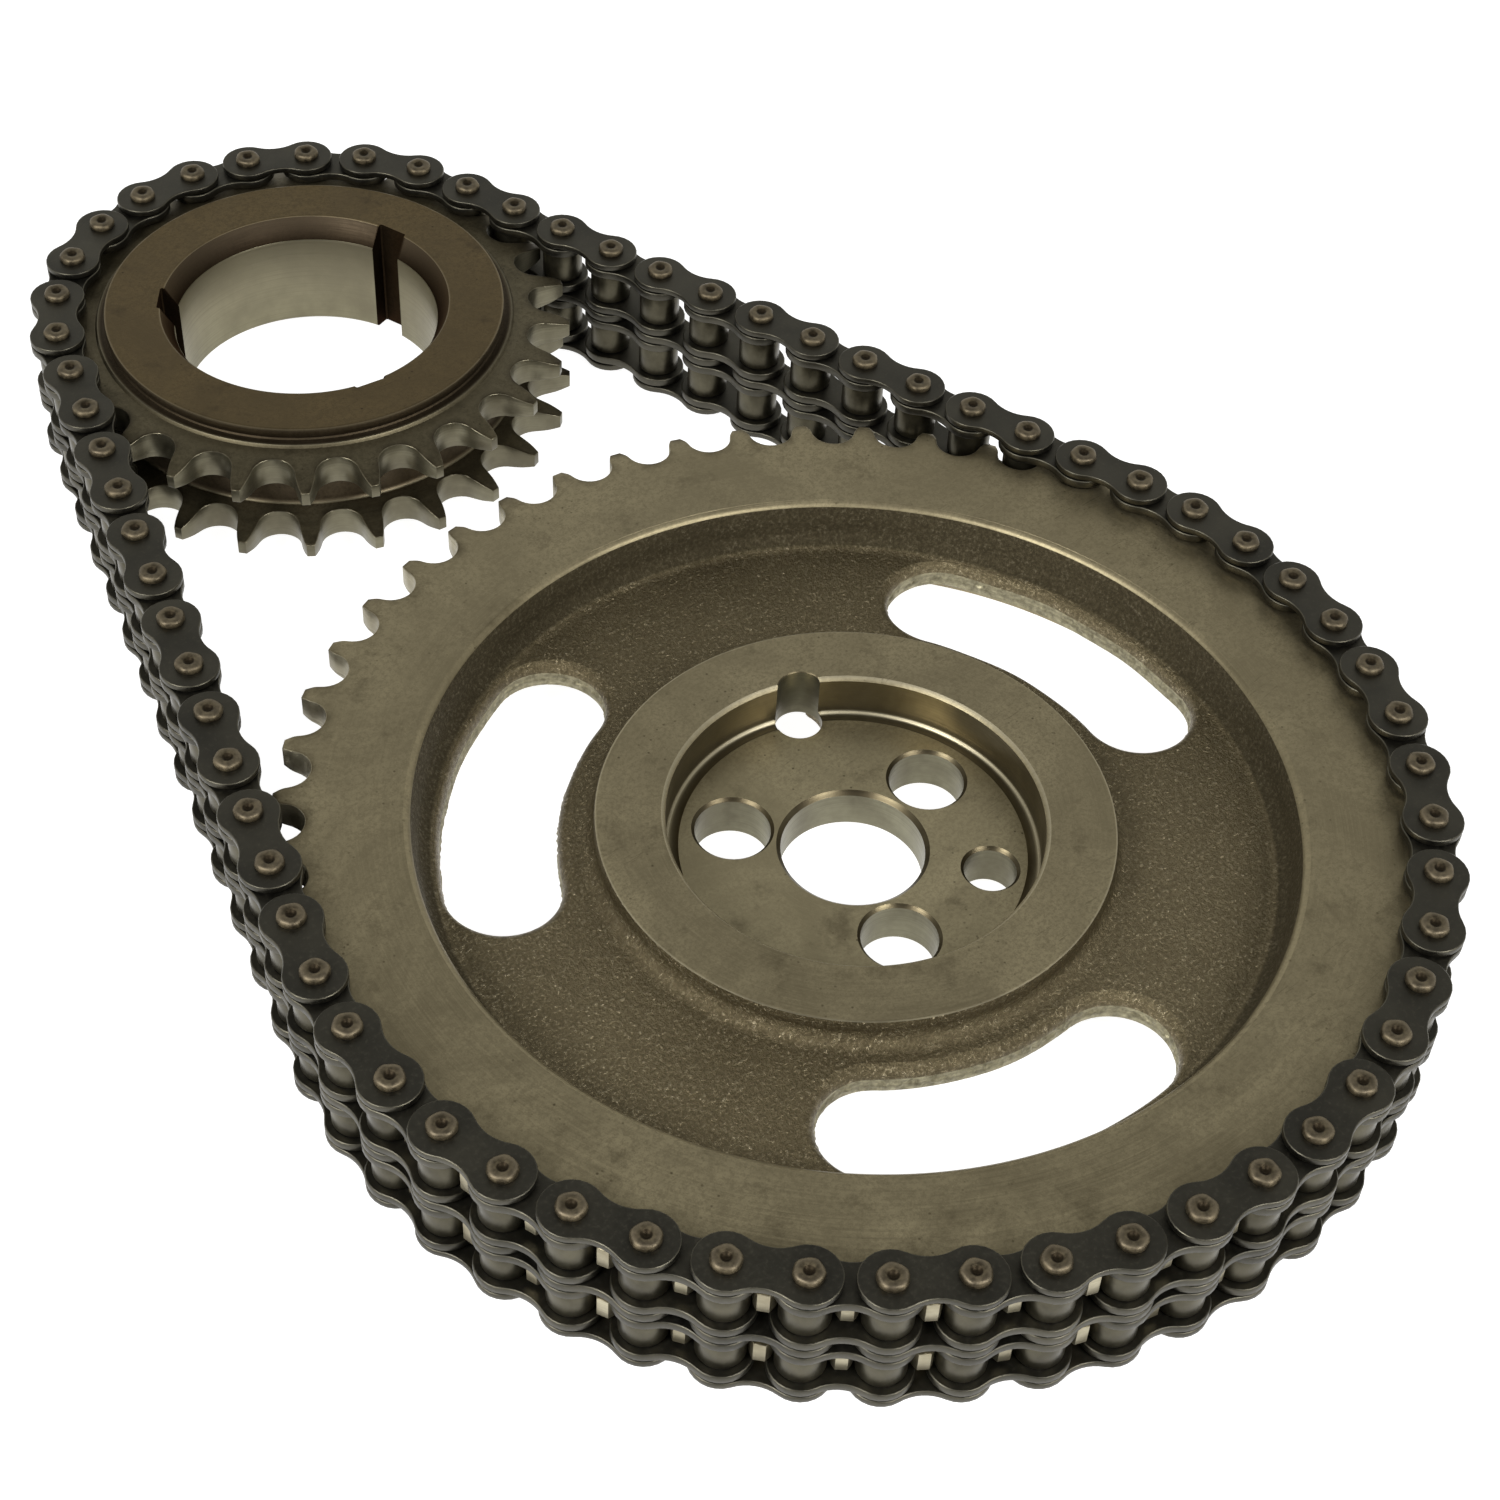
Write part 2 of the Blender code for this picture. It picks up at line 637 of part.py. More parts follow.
place("cam_sprocket", cam_sprocket_mesh(), cam_steel, (0, CAM_Y))
place("crank_sprocket", crank_sprocket_mesh(), crank_steel, (0, CRANK_Y))
build_seated_links()
shared_outer = outer_link_mesh()
shared_strands = {"upper": inner_strand_mesh(1), "lower": inner_strand_mesh(-1)}
build_run("right", RIGHT_RUN, shared_outer, shared_strands)
build_run("left", LEFT_RUN, shared_outer, shared_strands)
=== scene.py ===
"""Looks of the timing set: each plate, pin, bushing and roller, both sprockets, and the studio.

Lengths are in millimetres up to make_mesh, which turns them into metres in the CAD frame. Each mesh
keeps its place in its vertices, so object coordinates are the frame's coordinates at rest.
"""

import math
import random

import bmesh
import bpy
import numpy as np
from mathutils import Matrix, Vector
from mathutils.geometry import tessellate_polygon


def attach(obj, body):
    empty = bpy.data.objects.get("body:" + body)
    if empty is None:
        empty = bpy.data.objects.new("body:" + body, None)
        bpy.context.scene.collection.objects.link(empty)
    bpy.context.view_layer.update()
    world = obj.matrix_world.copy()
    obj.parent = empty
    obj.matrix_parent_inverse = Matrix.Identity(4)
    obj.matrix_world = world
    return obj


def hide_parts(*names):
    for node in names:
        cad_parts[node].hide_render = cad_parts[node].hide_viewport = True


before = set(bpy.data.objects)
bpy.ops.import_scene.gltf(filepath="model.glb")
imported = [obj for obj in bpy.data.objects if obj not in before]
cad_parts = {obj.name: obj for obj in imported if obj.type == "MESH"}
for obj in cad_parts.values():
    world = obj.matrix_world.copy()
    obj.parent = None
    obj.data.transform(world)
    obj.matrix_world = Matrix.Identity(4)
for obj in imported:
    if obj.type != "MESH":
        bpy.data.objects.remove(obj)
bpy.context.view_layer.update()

MM = 0.001

# Chain
PITCH = 9.525
LINKS = 66
FIRST_PIN = 2.3687  # pitches from the crank sprocket's far end to pin 0
MIDDLE = 11.6  # height midway between the two rows
STRAND = 5.12  # from there to the middle of each row
PLATE_R = 4.125
WAIST = 2.9  # half width of a plate at its waist
EDGE = 0.17  # rounding of a plate's edges
HOLE_STEPS = 16
OUTER_PLATE = (4.46, 5.46)  # near and far side, from the middle of a row
INNER_PLATE = (2.86, 4.16)
MIDDLE_PLATE = 0.65  # half thickness
ROLLER_R = 3.175
PIN_R = 1.64
BUSH_R = 2.3
BUSH_BORE = 1.72
OPEN_LINKS = (12, 54)  # their far pivots end the modelled runs and drift by 0.22 mm at full bend
OPEN_BORE = 2.0  # so the bushings there are bored wider

# Sprockets
CAM_TEETH = 50
CRANK_TEETH = 25
GULLET_R = 3.25
TOOTH_BEVEL = 0.14
ROW_HALF = 2.4  # half thickness of a tooth row
CAM_TIP = 77.2
RIM_INNER = 59.9
HUB_TOP = 16.5
RECESS_FLOOR = 10.0
SLOT_INNER, SLOT_OUTER = 39.8, 55.5
SLOT_SPAN = 20.5  # degrees from the middle of a slot to the centre of its round end
LIP_R = 1.8
CRANK_TIP = 41.0
BORE_R = 20.32

CAM_R = PITCH / (2 * math.sin(math.pi / CAM_TEETH))
CRANK_R = PITCH / (2 * math.sin(math.pi / CRANK_TEETH))


def path_lengths(distance):
    """Pitches over half the crank sprocket, along a run and over the cam sprocket."""
    lean = math.asin((CAM_R - CRANK_R) / distance)
    run = math.sqrt(distance**2 - (CAM_R - CRANK_R) ** 2) / PITCH
    half_crank = (math.pi / 2 - lean) * CRANK_TEETH / (2 * math.pi)
    return half_crank, run, (math.pi + 2 * lean) * CAM_TEETH / (2 * math.pi)


low, high = CAM_R + CRANK_R, LINKS * PITCH
for _ in range(60):
    DISTANCE = (low + high) / 2
    half, run, wrap = path_lengths(DISTANCE)
    if 2 * (half + run) + wrap < LINKS:
        low = DISTANCE
    else:
        high = DISTANCE
LEAN = math.asin((CAM_R - CRANK_R) / DISTANCE)
HALF_CRANK, RUN, CAM_WRAP = path_lengths(DISTANCE)
CAM_Y = -(DISTANCE + CRANK_R - CAM_R) / 2
CRANK_Y = CAM_Y + DISTANCE


def pin_position(index):
    """Centre of a pin in the plan, clockwise from the crank sprocket's far end."""
    travel = (index + FIRST_PIN) % LINKS
    side = 1
    if travel > HALF_CRANK + RUN + CAM_WRAP / 2:
        side, travel = -1, LINKS - travel
    tangent = math.pi / 2 - LEAN

    def around(centre, radius, angle):
        return np.array((radius * math.sin(angle), centre + radius * math.cos(angle)))

    if travel < HALF_CRANK:
        x, y = around(CRANK_Y, CRANK_R, travel * 2 * math.pi / CRANK_TEETH)
    elif travel < HALF_CRANK + RUN:
        start, end = around(CRANK_Y, CRANK_R, tangent), around(CAM_Y, CAM_R, tangent)
        x, y = start + (end - start) * (travel - HALF_CRANK) / RUN
    else:
        x, y = around(CAM_Y, CAM_R, tangent + (travel - HALF_CRANK - RUN) * 2 * math.pi / CAM_TEETH)
    return side * x, y


# ---------------------------------------------------------------- node materials


class Look:
    """A Principled material and short calls for the nodes that drive it."""

    def __init__(self, name, metallic, **sockets):
        self.material = bpy.data.materials.new(name)
        self.material.use_nodes = True
        self.tree = self.material.node_tree
        self.shader = self.tree.nodes["Principled BSDF"]
        self.shader.inputs["Metallic"].default_value = metallic
        for socket, value in sockets.items():
            self.shader.inputs[socket.replace("_", " ")].default_value = value
        self.place = self.tree.nodes.new("ShaderNodeTexCoord").outputs["Object"]

    def put(self, socket, value):
        """Links a socket, or sets a constant. A colour is given as (r, g, b)."""
        if isinstance(value, bpy.types.NodeSocket):
            self.tree.links.new(value, socket)
        elif socket.type == "RGBA":
            socket.default_value = (*value, 1.0)
        else:
            socket.default_value = value

    def maths(self, operation, first, second):
        node = self.tree.nodes.new("ShaderNodeMath")
        node.operation = operation
        self.put(node.inputs[0], first)
        self.put(node.inputs[1], second)
        return node.outputs[0]

    def times(self, first, second):
        return self.maths("MULTIPLY", first, second)

    def vector(self, operation, first, second=(0.0, 0.0, 0.0)):
        node = self.tree.nodes.new("ShaderNodeVectorMath")
        node.operation = operation
        self.put(node.inputs[0], first)
        self.put(node.inputs[1], second)
        return node.outputs["Value" if operation == "LENGTH" else "Vector"]

    def noise(self, scale, detail=3.0, rough=0.55, where=None, distortion=0.0):
        node = self.tree.nodes.new("ShaderNodeTexNoise")
        self.put(node.inputs["Vector"], where or self.place)
        for socket, value in (("Scale", scale), ("Detail", detail), ("Roughness", rough)):
            node.inputs[socket].default_value = value
        node.inputs["Distortion"].default_value = distortion
        return node.outputs["Fac"]

    def cells(self, scale):
        node = self.tree.nodes.new("ShaderNodeTexVoronoi")
        self.put(node.inputs["Vector"], self.place)
        node.inputs["Scale"].default_value = scale
        return node.outputs["Distance"]

    def span(self, value, low, high, to_low=0.0, to_high=1.0):
        node = self.tree.nodes.new("ShaderNodeMapRange")
        for socket, item in zip(node.inputs, (value, low, high, to_low, to_high)):
            self.put(socket, item)
        return node.outputs["Result"]

    def blend(self, amount, first, second):
        node = self.tree.nodes.new("ShaderNodeMix")
        node.data_type = "RGBA"
        for socket, value in (("Factor", amount), ("A", first), ("B", second)):
            self.put(node.inputs[socket], value)
        return node.outputs["Result"]

    def mark(self, name, share=1.0):
        """A mark that the mesh carries on its vertices, times share."""
        node = self.tree.nodes.new("ShaderNodeAttribute")
        node.attribute_name = name
        return node.outputs["Fac"] if share == 1.0 else self.times(node.outputs["Fac"], share)

    def bump(self, height, depth_mm, strength=1.0, under=None):
        node = self.tree.nodes.new("ShaderNodeBump")
        node.inputs["Strength"].default_value = strength
        node.inputs["Distance"].default_value = depth_mm * MM
        self.put(node.inputs["Height"], height)
        if under is not None:
            self.put(node.inputs["Normal"], under)
        return node.outputs["Normal"]

    def split(self, vector):
        node = self.tree.nodes.new("ShaderNodeSeparateXYZ")
        self.put(node.inputs[0], vector)
        return node.outputs

    def join(self, x, y, z):
        node = self.tree.nodes.new("ShaderNodeCombineXYZ")
        for socket, value in zip(node.inputs, (x, y, z)):
            self.put(socket, value)
        return node.outputs[0]

    def height(self, scale):
        """The height times scale, for rings that lie level on a wall."""
        return self.times(self.split(self.place)["Z"], scale)

    def polar(self, centre_y):
        """Radius, angle and height about a sprocket's axis, for textures that run round it."""
        offset = self.vector("SUBTRACT", self.place, (0.0, centre_y * MM, 0.0))
        parts = self.split(offset)
        radius = self.vector("LENGTH", self.vector("MULTIPLY", offset, (1.0, 1.0, 0.0)))
        return radius, self.maths("ARCTAN2", parts["Y"], parts["X"]), parts["Z"]

    def done(self, colour, roughness, normal=None):
        self.put(self.shader.inputs["Base Color"], colour)
        self.put(self.shader.inputs["Roughness"], roughness)
        if normal is not None:
            self.put(self.shader.inputs["Normal"], normal)
        return self.material


def plate_look():
    """Blued, oiled plate: nearly black, faint grain, paler along its rounded edges."""
    look = Look("blued_plate", 1.0)
    cloud = look.noise(90, 4)
    grain = look.noise(1400, 2, 0.7)
    base = look.blend(look.span(cloud, 0.35, 0.65), (0.058, 0.055, 0.045), (0.088, 0.082, 0.064))
    base = look.blend(look.span(grain, 0.55, 0.75, 0, 0.35), base, (0.13, 0.12, 0.09))
    worn = look.times(look.mark("edge"), look.span(look.noise(420, 3), 0.35, 0.7, 0.15, 0.8))
    base = look.blend(worn, base, (0.16, 0.147, 0.105))
    rough = look.span(grain, 0.3, 0.8, 0.38, 0.54)
    return look.done(base, rough, look.bump(grain, 0.012, 0.5, look.bump(cloud, 0.05, 0.3)))


def pin_look():
    """Riveted pin ends: brownish bare steel with darker spots, painted shade in the punch mark and
    a crown painted paler as a highlight.
    """
    look = Look("pin_steel", 0.9)
    spots = look.noise(900, 3, 0.65)
    base = look.blend(look.span(spots, 0.38, 0.62), (0.075, 0.060, 0.037), (0.175, 0.142, 0.088))
    # painted shade: the punch mark, which carries the hollow mark, is painted nearly black
    base = look.blend(look.mark("hollow"), base, (0.030, 0.022, 0.012))
    # painted highlight: the crown, which carries the edge mark, is painted paler
    base = look.blend(look.mark("edge", 0.4), base, (0.24, 0.20, 0.14))
    rough = look.span(spots, 0.3, 0.7, 0.42, 0.60)
    return look.done(base, rough, look.bump(spots, 0.03, 0.6))


def roller_look():
    """Hard polished roller with a thin dark oil film, faint rings, and rounded corners painted
    paler as a highlight.
    """
    look = Look("roller_steel", 0.92)
    film = look.noise(260, 4, 0.6)
    rings = look.noise(1.0, 2, 0.5, look.join(0.0, 0.0, look.height(9000.0)))
    base = look.blend(look.span(film, 0.35, 0.7), (0.055, 0.049, 0.032), (0.110, 0.100, 0.068))
    # painted highlight: the rounded corners, which carry the edge mark, are painted paler
    base = look.blend(look.mark("edge", 0.5), base, (0.15, 0.137, 0.098))
    rough = look.span(film, 0.3, 0.75, 0.28, 0.44)
    return look.done(base, rough, look.bump(rings, 0.004, 0.4))


def bushing_look():
    look = Look("bushing_steel", 0.9)
    film = look.noise(500, 3)
    base = look.blend(film, (0.07, 0.062, 0.044), (0.15, 0.136, 0.10))
    return look.done(base, look.span(film, 0.3, 0.7, 0.3, 0.45))


def turned_face_look(
    name, centre_y, light, dark, stain, rough, rings=0.5, rim=(0.50, 0.45, 0.32), **sockets
):
    """A faced surface: fine rings about the axis, cloudy film, specks, handling scratches, and
    edges painted paler as highlight lines.
    """
    look = Look(name, 0.88, **sockets)
    radius, angle, height = look.polar(centre_y)
    along = look.join(
        look.times(radius, 5200.0), look.times(angle, 3.0), look.times(height, 5200.0)
    )
    lines = look.noise(1.0, 3, 0.6, along)
    cloud = look.noise(46, 6, 0.72, distortion=0.8)
    fine = look.noise(1700, 3, 0.8)
    base = look.blend(look.span(cloud, 0.38, 0.62), dark, light)
    base = look.blend(look.span(lines, 0.35, 0.7, 0.0, rings), base, light)
    base = look.blend(look.span(fine, 0.44, 0.60, 0, 0.75), base, dark)
    base = look.blend(look.span(look.noise(150, 5, 0.7), 0.56, 0.72, 0, 0.5), base, stain)
    specks = look.span(look.cells(700), 0.16, 0.06, 0, 0.85)
    base = look.blend(look.times(specks, look.span(look.noise(95, 3), 0.48, 0.62)), base, stain)
    patches = look.span(look.noise(210, 4, 0.65), 0.36, 0.62)
    base = look.blend(look.times(look.mark("stain"), patches), base, stain)
    # painted highlight: vertices with the edge mark are painted toward rim, as highlight lines
    # along edges
    base = look.blend(look.mark("edge", 0.6), base, rim)
    stretched = look.vector("MULTIPLY", look.place, (260.0, 2600.0, 900.0))
    scratch = look.span(look.noise(1.0, 2, 0.4, stretched, 1.5), 0.66, 0.72)
    scratch = look.times(scratch, look.span(look.noise(24, 2), 0.52, 0.62))
    base = look.blend(look.times(scratch, 0.35), base, stain)
    dull = look.span(cloud, 0.35, 0.65, -0.05, 0.08)
    rough = look.maths("ADD", look.span(lines, 0.3, 0.75, *rough), dull)
    normal = look.bump(lines, 0.012, 0.45, look.bump(fine, 0.026, 0.7))
    return look.done(base, rough, normal)


def cast_look(name, dark, light, painted_glint_colour):
    """As-cast iron skin: sandy grain with glints painted on its crests, more along marked edges,
    dull and painted with shade in the hollows.
    """
    look = Look(name, 0.85, Specular_IOR_Level=0.3)
    sand = look.noise(1900, 4, 0.78)
    lumps = look.noise(520, 3, 0.6)
    cloud = look.noise(34, 4)
    base = look.blend(look.span(cloud, 0.35, 0.65), dark, light)
    base = look.blend(look.span(sand, 0.42, 0.58, 0.5, 0.0), base, (0.060, 0.048, 0.026))
    # painted glint: sand crests are painted toward a pale glint colour, more so along edges with
    # the edge mark
    crest = look.times(look.span(sand, 0.54, 0.66), look.span(lumps, 0.42, 0.60, 0.3, 1.0))
    painted_glint = look.times(crest, look.span(look.mark("edge"), 0, 1, 0.5, 0.95))
    base = look.blend(painted_glint, base, painted_glint_colour)
    # painted shade: points with the hollow mark are darkened
    base = look.blend(look.mark("hollow", 0.65), base, (0.040, 0.033, 0.019))
    rough = look.maths("ADD", look.span(sand, 0.35, 0.7, 0.48, 0.20), look.mark("hollow", 0.3))
    normal = look.bump(sand, 0.28, 1.0, look.bump(lumps, 0.22, 0.75))
    return look.done(base, rough, normal)


def broken_look():
    """Walls of the cored slots: pale, rough, with layers along them, and a highlight painted along
    the top of the wall.
    """
    look = Look("cam_slot_wall", 0.75)
    layers = look.join(look.vector("LENGTH", look.place), 0.0, look.height(1400.0))
    strata = look.noise(1.0, 3, 0.6, layers, 0.3)
    crumbs = look.noise(900, 4, 0.7)
    base = look.blend(look.span(crumbs, 0.35, 0.68), (0.20, 0.18, 0.115), (0.42, 0.385, 0.25))
    base = look.blend(look.span(strata, 0.48, 0.66, 0, 0.65), base, (0.12, 0.105, 0.066))
    # painted highlight: the top of the wall, which carries the edge mark, is painted pale in
    # patches
    painted_lip_highlight = look.span(look.noise(520, 3, 0.7), 0.38, 0.58, 0.45, 1.0)
    base = look.blend(look.times(look.mark("edge"), painted_lip_highlight), base, (0.58, 0.53, 0.36))
    normal = look.bump(crumbs, 0.16, 0.9, look.bump(strata, 0.15, 0.6))
    return look.done(base, look.span(crumbs, 0.3, 0.7, 0.6, 0.4), normal)


def bored_look(name, light, dark, rim=(0.40, 0.37, 0.27)):
    """A ground or drilled wall, with rings that follow the height, and edges painted paler as
    highlight lines.
    """
    look = Look(name, 0.88)
    wobble = look.span(look.noise(30, 1), 0.3, 0.7, -0.35, 0.35)
    rings = look.noise(1.0, 3, 0.65, look.join(wobble, 0.0, look.height(3300.0)))
    film = look.noise(120, 4, 0.6)
    base = look.blend(look.span(film, 0.35, 0.65), dark, light)
    base = look.blend(look.span(rings, 0.45, 0.7, 0, 0.5), base, dark)
    # painted highlight: vertices with the edge mark are painted toward rim, as highlight lines
    # along edges
    base = look.blend(look.mark("edge", 0.7), base, rim)
    return look.done(base, look.span(rings, 0.35, 0.7, 0.28, 0.46), look.bump(rings, 0.02, 0.5))


# ---------------------------------------------------------------- mesh tools


def crease(work, smooth):
    """Smooth shading, but for corners over this angle and the borders of level faces."""
    for face in work.faces:
        face.smooth = True
    for edge in work.edges:
        if len(edge.link_faces) == 2:
            first, second = edge.link_faces
            level = (abs(first.normal.z) > 0.9995) != (abs(second.normal.z) > 0.9995)
            edge.smooth = not level and edge.calc_face_angle(0.0) < math.radians(smooth)


def make_mesh(name, verts, faces, kinds, looks, marks, smooth):
    """A mesh in metres. kinds gives each face's material, marks a value per vertex by name."""
    mesh = bpy.data.meshes.new(name)
    mesh.from_pydata([tuple(c * MM for c in v) for v in verts], [], faces)
    for look in looks:
        mesh.materials.append(look)
    mesh.polygons.foreach_set("material_index", kinds)
    for mark, values in marks.items():
        attribute = mesh.attributes.new(mark, "FLOAT", "POINT")
        attribute.data.foreach_set("value", np.asarray(values, np.float32))
    work = bmesh.new()
    work.from_mesh(mesh)
    bmesh.ops.recalc_face_normals(work, faces=work.faces)
    crease(work, smooth)
    work.to_mesh(mesh)
    work.free()
    return mesh


class Shape:
    """Vertices, faces, the kind of each face and the marks on vertices, gathered for one mesh."""

    def __init__(self):
        self.verts, self.faces, self.kinds = [], [], []
        self.marks = {"edge": [], "hollow": [], "stain": []}

    def add(self, points, **marks):
        start = len(self.verts)
        self.verts.extend(tuple(p) for p in points)
        for mark, values in self.marks.items():
            given = marks.get(mark, 0.0)
            values.extend(given if hasattr(given, "__len__") else [given] * len(points))
        return start

    def face(self, corners, kind=0):
        self.faces.append(tuple(corners))
        self.kinds.append(kind)

    def strip(self, first, second, count, kind=0):
        """Quads between two closed rings of vertices."""
        for i in range(count):
            j = (i + 1) % count
            self.face((first + i, first + j, second + j, second + i), kind)

    def turned(
        self, profile, steps, centre, kinds=None, edges=(), hollows=(), closed=True, lobes=None
    ):
        """Turns (radius, height) points about the vertical through centre; radius 0 makes a pole.

        kinds is for the strips that start at each point, edges and hollows name the points with
        those marks, and lobes is (the points it waves, share of the radius, count, phase).
        """
        rings = []
        for index, (radius, height) in enumerate(profile):
            edge = 1.0 if index in edges else 0.0
            hollow = 1.0 if index in hollows else 0.0
            if radius == 0:
                rings.append((self.add([(*centre, height)], edge=edge, hollow=hollow), 1))
                continue
            points = []
            for k in range(steps):
                angle = 2 * math.pi * k / steps
                reach = radius
                if lobes and index in lobes[0]:
                    reach *= 1 + lobes[1] * math.cos(lobes[2] * angle + lobes[3])
                x, y = reach * math.cos(angle), reach * math.sin(angle)
                points.append((centre[0] + x, centre[1] + y, height))
            rings.append((self.add(points, edge=edge, hollow=hollow), steps))
        pairs = list(zip(range(len(rings)), range(1, len(rings))))
        if closed:
            pairs.append((len(rings) - 1, 0))
        for a, b in pairs:
            kind = kinds[a] if kinds else 0
            (first, n), (second, m) = rings[a], rings[b]
            if n == 1 and m == 1:
                continue
            if n == 1 or m == 1:
                pole, ring = (first, second) if n == 1 else (second, first)
                for k in range(steps):
                    self.face((pole, ring + k, ring + (k + 1) % steps), kind)
            else:
                self.strip(first, second, steps, kind)

    def move(self, matrix):
        self.verts = [tuple(matrix @ Vector(v)) for v in self.verts]

    def mesh(self, name, looks, smooth=50.0):
        return make_mesh(name, self.verts, self.faces, self.kinds, looks, self.marks, smooth)


def arc(centre, radius, start, end, count):
    """Points along an arc, from start to end in degrees."""
    angles = [math.radians(start + (end - start) * i / (count - 1)) for i in range(count)]
    return [(centre[0] + radius * math.cos(a), centre[1] + radius * math.sin(a)) for a in angles]


def shifted(outline, distance):
    """The outline moved along its outward normals; it runs anticlockwise."""
    points = np.array(outline)
    ahead = np.roll(points, -1, 0) - np.roll(points, 1, 0)
    normals = np.stack((ahead[:, 1], -ahead[:, 0]), 1)
    normals /= np.linalg.norm(normals, axis=1)[:, None]
    return points + normals * distance


def plate_outline():
    """Two round ends joined by hollow waists, pins at the origin and one pitch along +X."""
    hollow = (PITCH**2 / 4 + WAIST**2 - PLATE_R**2) / (2 * (PLATE_R - WAIST))
    turn = math.degrees(math.atan2(WAIST + hollow, PITCH / 2))
    right = arc((PITCH, 0), PLATE_R, turn - 180, 180 - turn, 19)
    top = arc((PITCH / 2, WAIST + hollow), hollow, -turn, turn - 180, 9)[1:-1]
    left = arc((0, 0), PLATE_R, turn, 360 - turn, 19)
    bottom = arc((PITCH / 2, -WAIST - hollow), hollow, 180 - turn, turn, 9)[1:-1]
    return right + top + left + bottom


OUTLINE = plate_outline()


def add_plate(shape, low, high, hole_radius):
    """A stamped plate: rounded upper and lower edges, two round holes."""
    count = len(OUTLINE)
    rings = (
        (-EDGE, high), (-EDGE * 0.3, high - EDGE * 0.3), (0.0, high - EDGE),
        (0.0, low + EDGE), (-EDGE * 0.3, low + EDGE * 0.3), (-EDGE, low),
    )
    starts = []
    for index, (distance, height) in enumerate(rings):
        points = [(x, y, height) for x, y in shifted(OUTLINE, distance)]
        starts.append(shape.add(points, edge=1.0 if index in (1, 4) else 0.0))
    for first, second in zip(starts, starts[1:]):
        shape.strip(first, second, count)
    holes = [arc(c, hole_radius, 360, 0, HOLE_STEPS + 1)[:-1] for c in ((0, 0), (PITCH, 0))]
    sides = []
    for start, height in ((starts[0], high), (starts[-1], low)):
        loops = [[Vector((x, y, 0)) for x, y in shifted(OUTLINE, -EDGE)]]
        loops += [[Vector((x, y, 0)) for x, y in hole] for hole in holes]
        hole_start = shape.add([(x, y, height) for hole in holes for x, y in hole])
        index = list(range(start, start + count))
        index += range(hole_start, hole_start + 2 * HOLE_STEPS)
        for triangle in tessellate_polygon(loops):
            shape.face([index[i] for i in triangle])
        sides.append(hole_start)
    for offset in (0, HOLE_STEPS):
        shape.strip(sides[0] + offset, sides[1] + offset, HOLE_STEPS)


def link_matrix(first):
    """Takes a link from the origin and +X to the pins first and first + 1."""
    start, end = pin_position(first), pin_position(first + 1)
    turn = math.atan2(end[1] - start[1], end[0] - start[0])
    return Matrix.Translation((start[0], start[1], 0)) @ Matrix.Rotation(turn, 4, "Z")


def piece(name, mesh, body):
    obj = bpy.data.objects.new(name, mesh)
    bpy.context.scene.collection.objects.link(obj)
    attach(obj, body)
    return obj


def body_of_link(first):
    """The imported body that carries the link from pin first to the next."""
    if 6 <= first <= 12:
        return f"right_link_{first - 5}"
    if 48 <= first <= 54:
        return f"left_link_{first - 47}"
    return "seated_chain"


# ---------------------------------------------------------------- chain

plate_steel = plate_look()
pin_steel = pin_look()
roller_steel = roller_look()
bushing_steel = bushing_look()


def add_pin(shape, centre, turn):
    """A pin: at both ends of its shaft a slightly lobed riveted head with a punch mark."""
    up = [(PIN_R, 10.4), (1.86, 10.55), (1.95, 10.75), (1.96, 11.0), (1.88, 11.28), (1.68, 11.5)]
    up += [(1.38, 11.6), (0.86, 11.57), (0.66, 11.46), (0.46, 11.26), (0.22, 11.16), (0, 11.14)]
    profile = [(r, MIDDLE + h) for r, h in reversed(up)] + [(r, MIDDLE - h) for r, h in up]
    # the crown's points carry the edge mark, painted paler as a highlight; the punch mark's points
    # carry the hollow mark, painted with shade
    crown = [i for i, (r, _) in enumerate(profile) if r in (1.38, 1.68)]
    punched = [i for i, (r, _) in enumerate(profile) if r < 0.7]
    lobed = [i for i, (r, h) in enumerate(profile) if r > 1.0 and abs(h - MIDDLE) > 10.9]
    lobes = (lobed, 0.035, 5, turn)
    shape.turned(profile, 24, centre, edges=crown, hollows=punched, closed=False, lobes=lobes)


def add_roller(shape, centre, level):
    profile = [
        (2.38, -2.68), (2.82, -2.7), (3.07, -2.6), (ROLLER_R, -2.35), (ROLLER_R, 2.35),
        (3.07, 2.6), (2.82, 2.7), (2.38, 2.68),
    ]
    # the rounded corners carry the edge mark, painted paler as a highlight
    shape.turned([(r, level + h) for r, h in profile], 32, centre, edges=(2, 5))


def add_bushing(shape, centre, level, bore):
    """A bushing, in the second material of its link's mesh."""
    profile = [(BUSH_R, 4.1), (BUSH_R, -4.1), (bore, -4.12), (bore, 4.12)]
    shape.turned([(r, level + h) for r, h in profile], 20, centre, kinds=[1] * 4)


def build_outer_link(first, dice):
    body = body_of_link(first)
    shape = Shape()
    for side in (1, -1):
        low, high = sorted(MIDDLE + side * (STRAND + reach) for reach in OUTER_PLATE)
        add_plate(shape, low, high, PIN_R)
    add_plate(shape, MIDDLE - MIDDLE_PLATE, MIDDLE + MIDDLE_PLATE, PIN_R)
    shape.move(link_matrix(first))
    mesh = shape.mesh("outer_link", [plate_steel])
    plates = piece(f"outer_link_{first:02d}_plates", mesh, body)
    for index in (first, first + 1):
        shape = Shape()
        add_pin(shape, pin_position(index), dice.uniform(0, 6.28))
        mesh = shape.mesh("pin", [pin_steel], 40)
        piece(f"pin_{index % LINKS:02d}", mesh, body)
    return plates


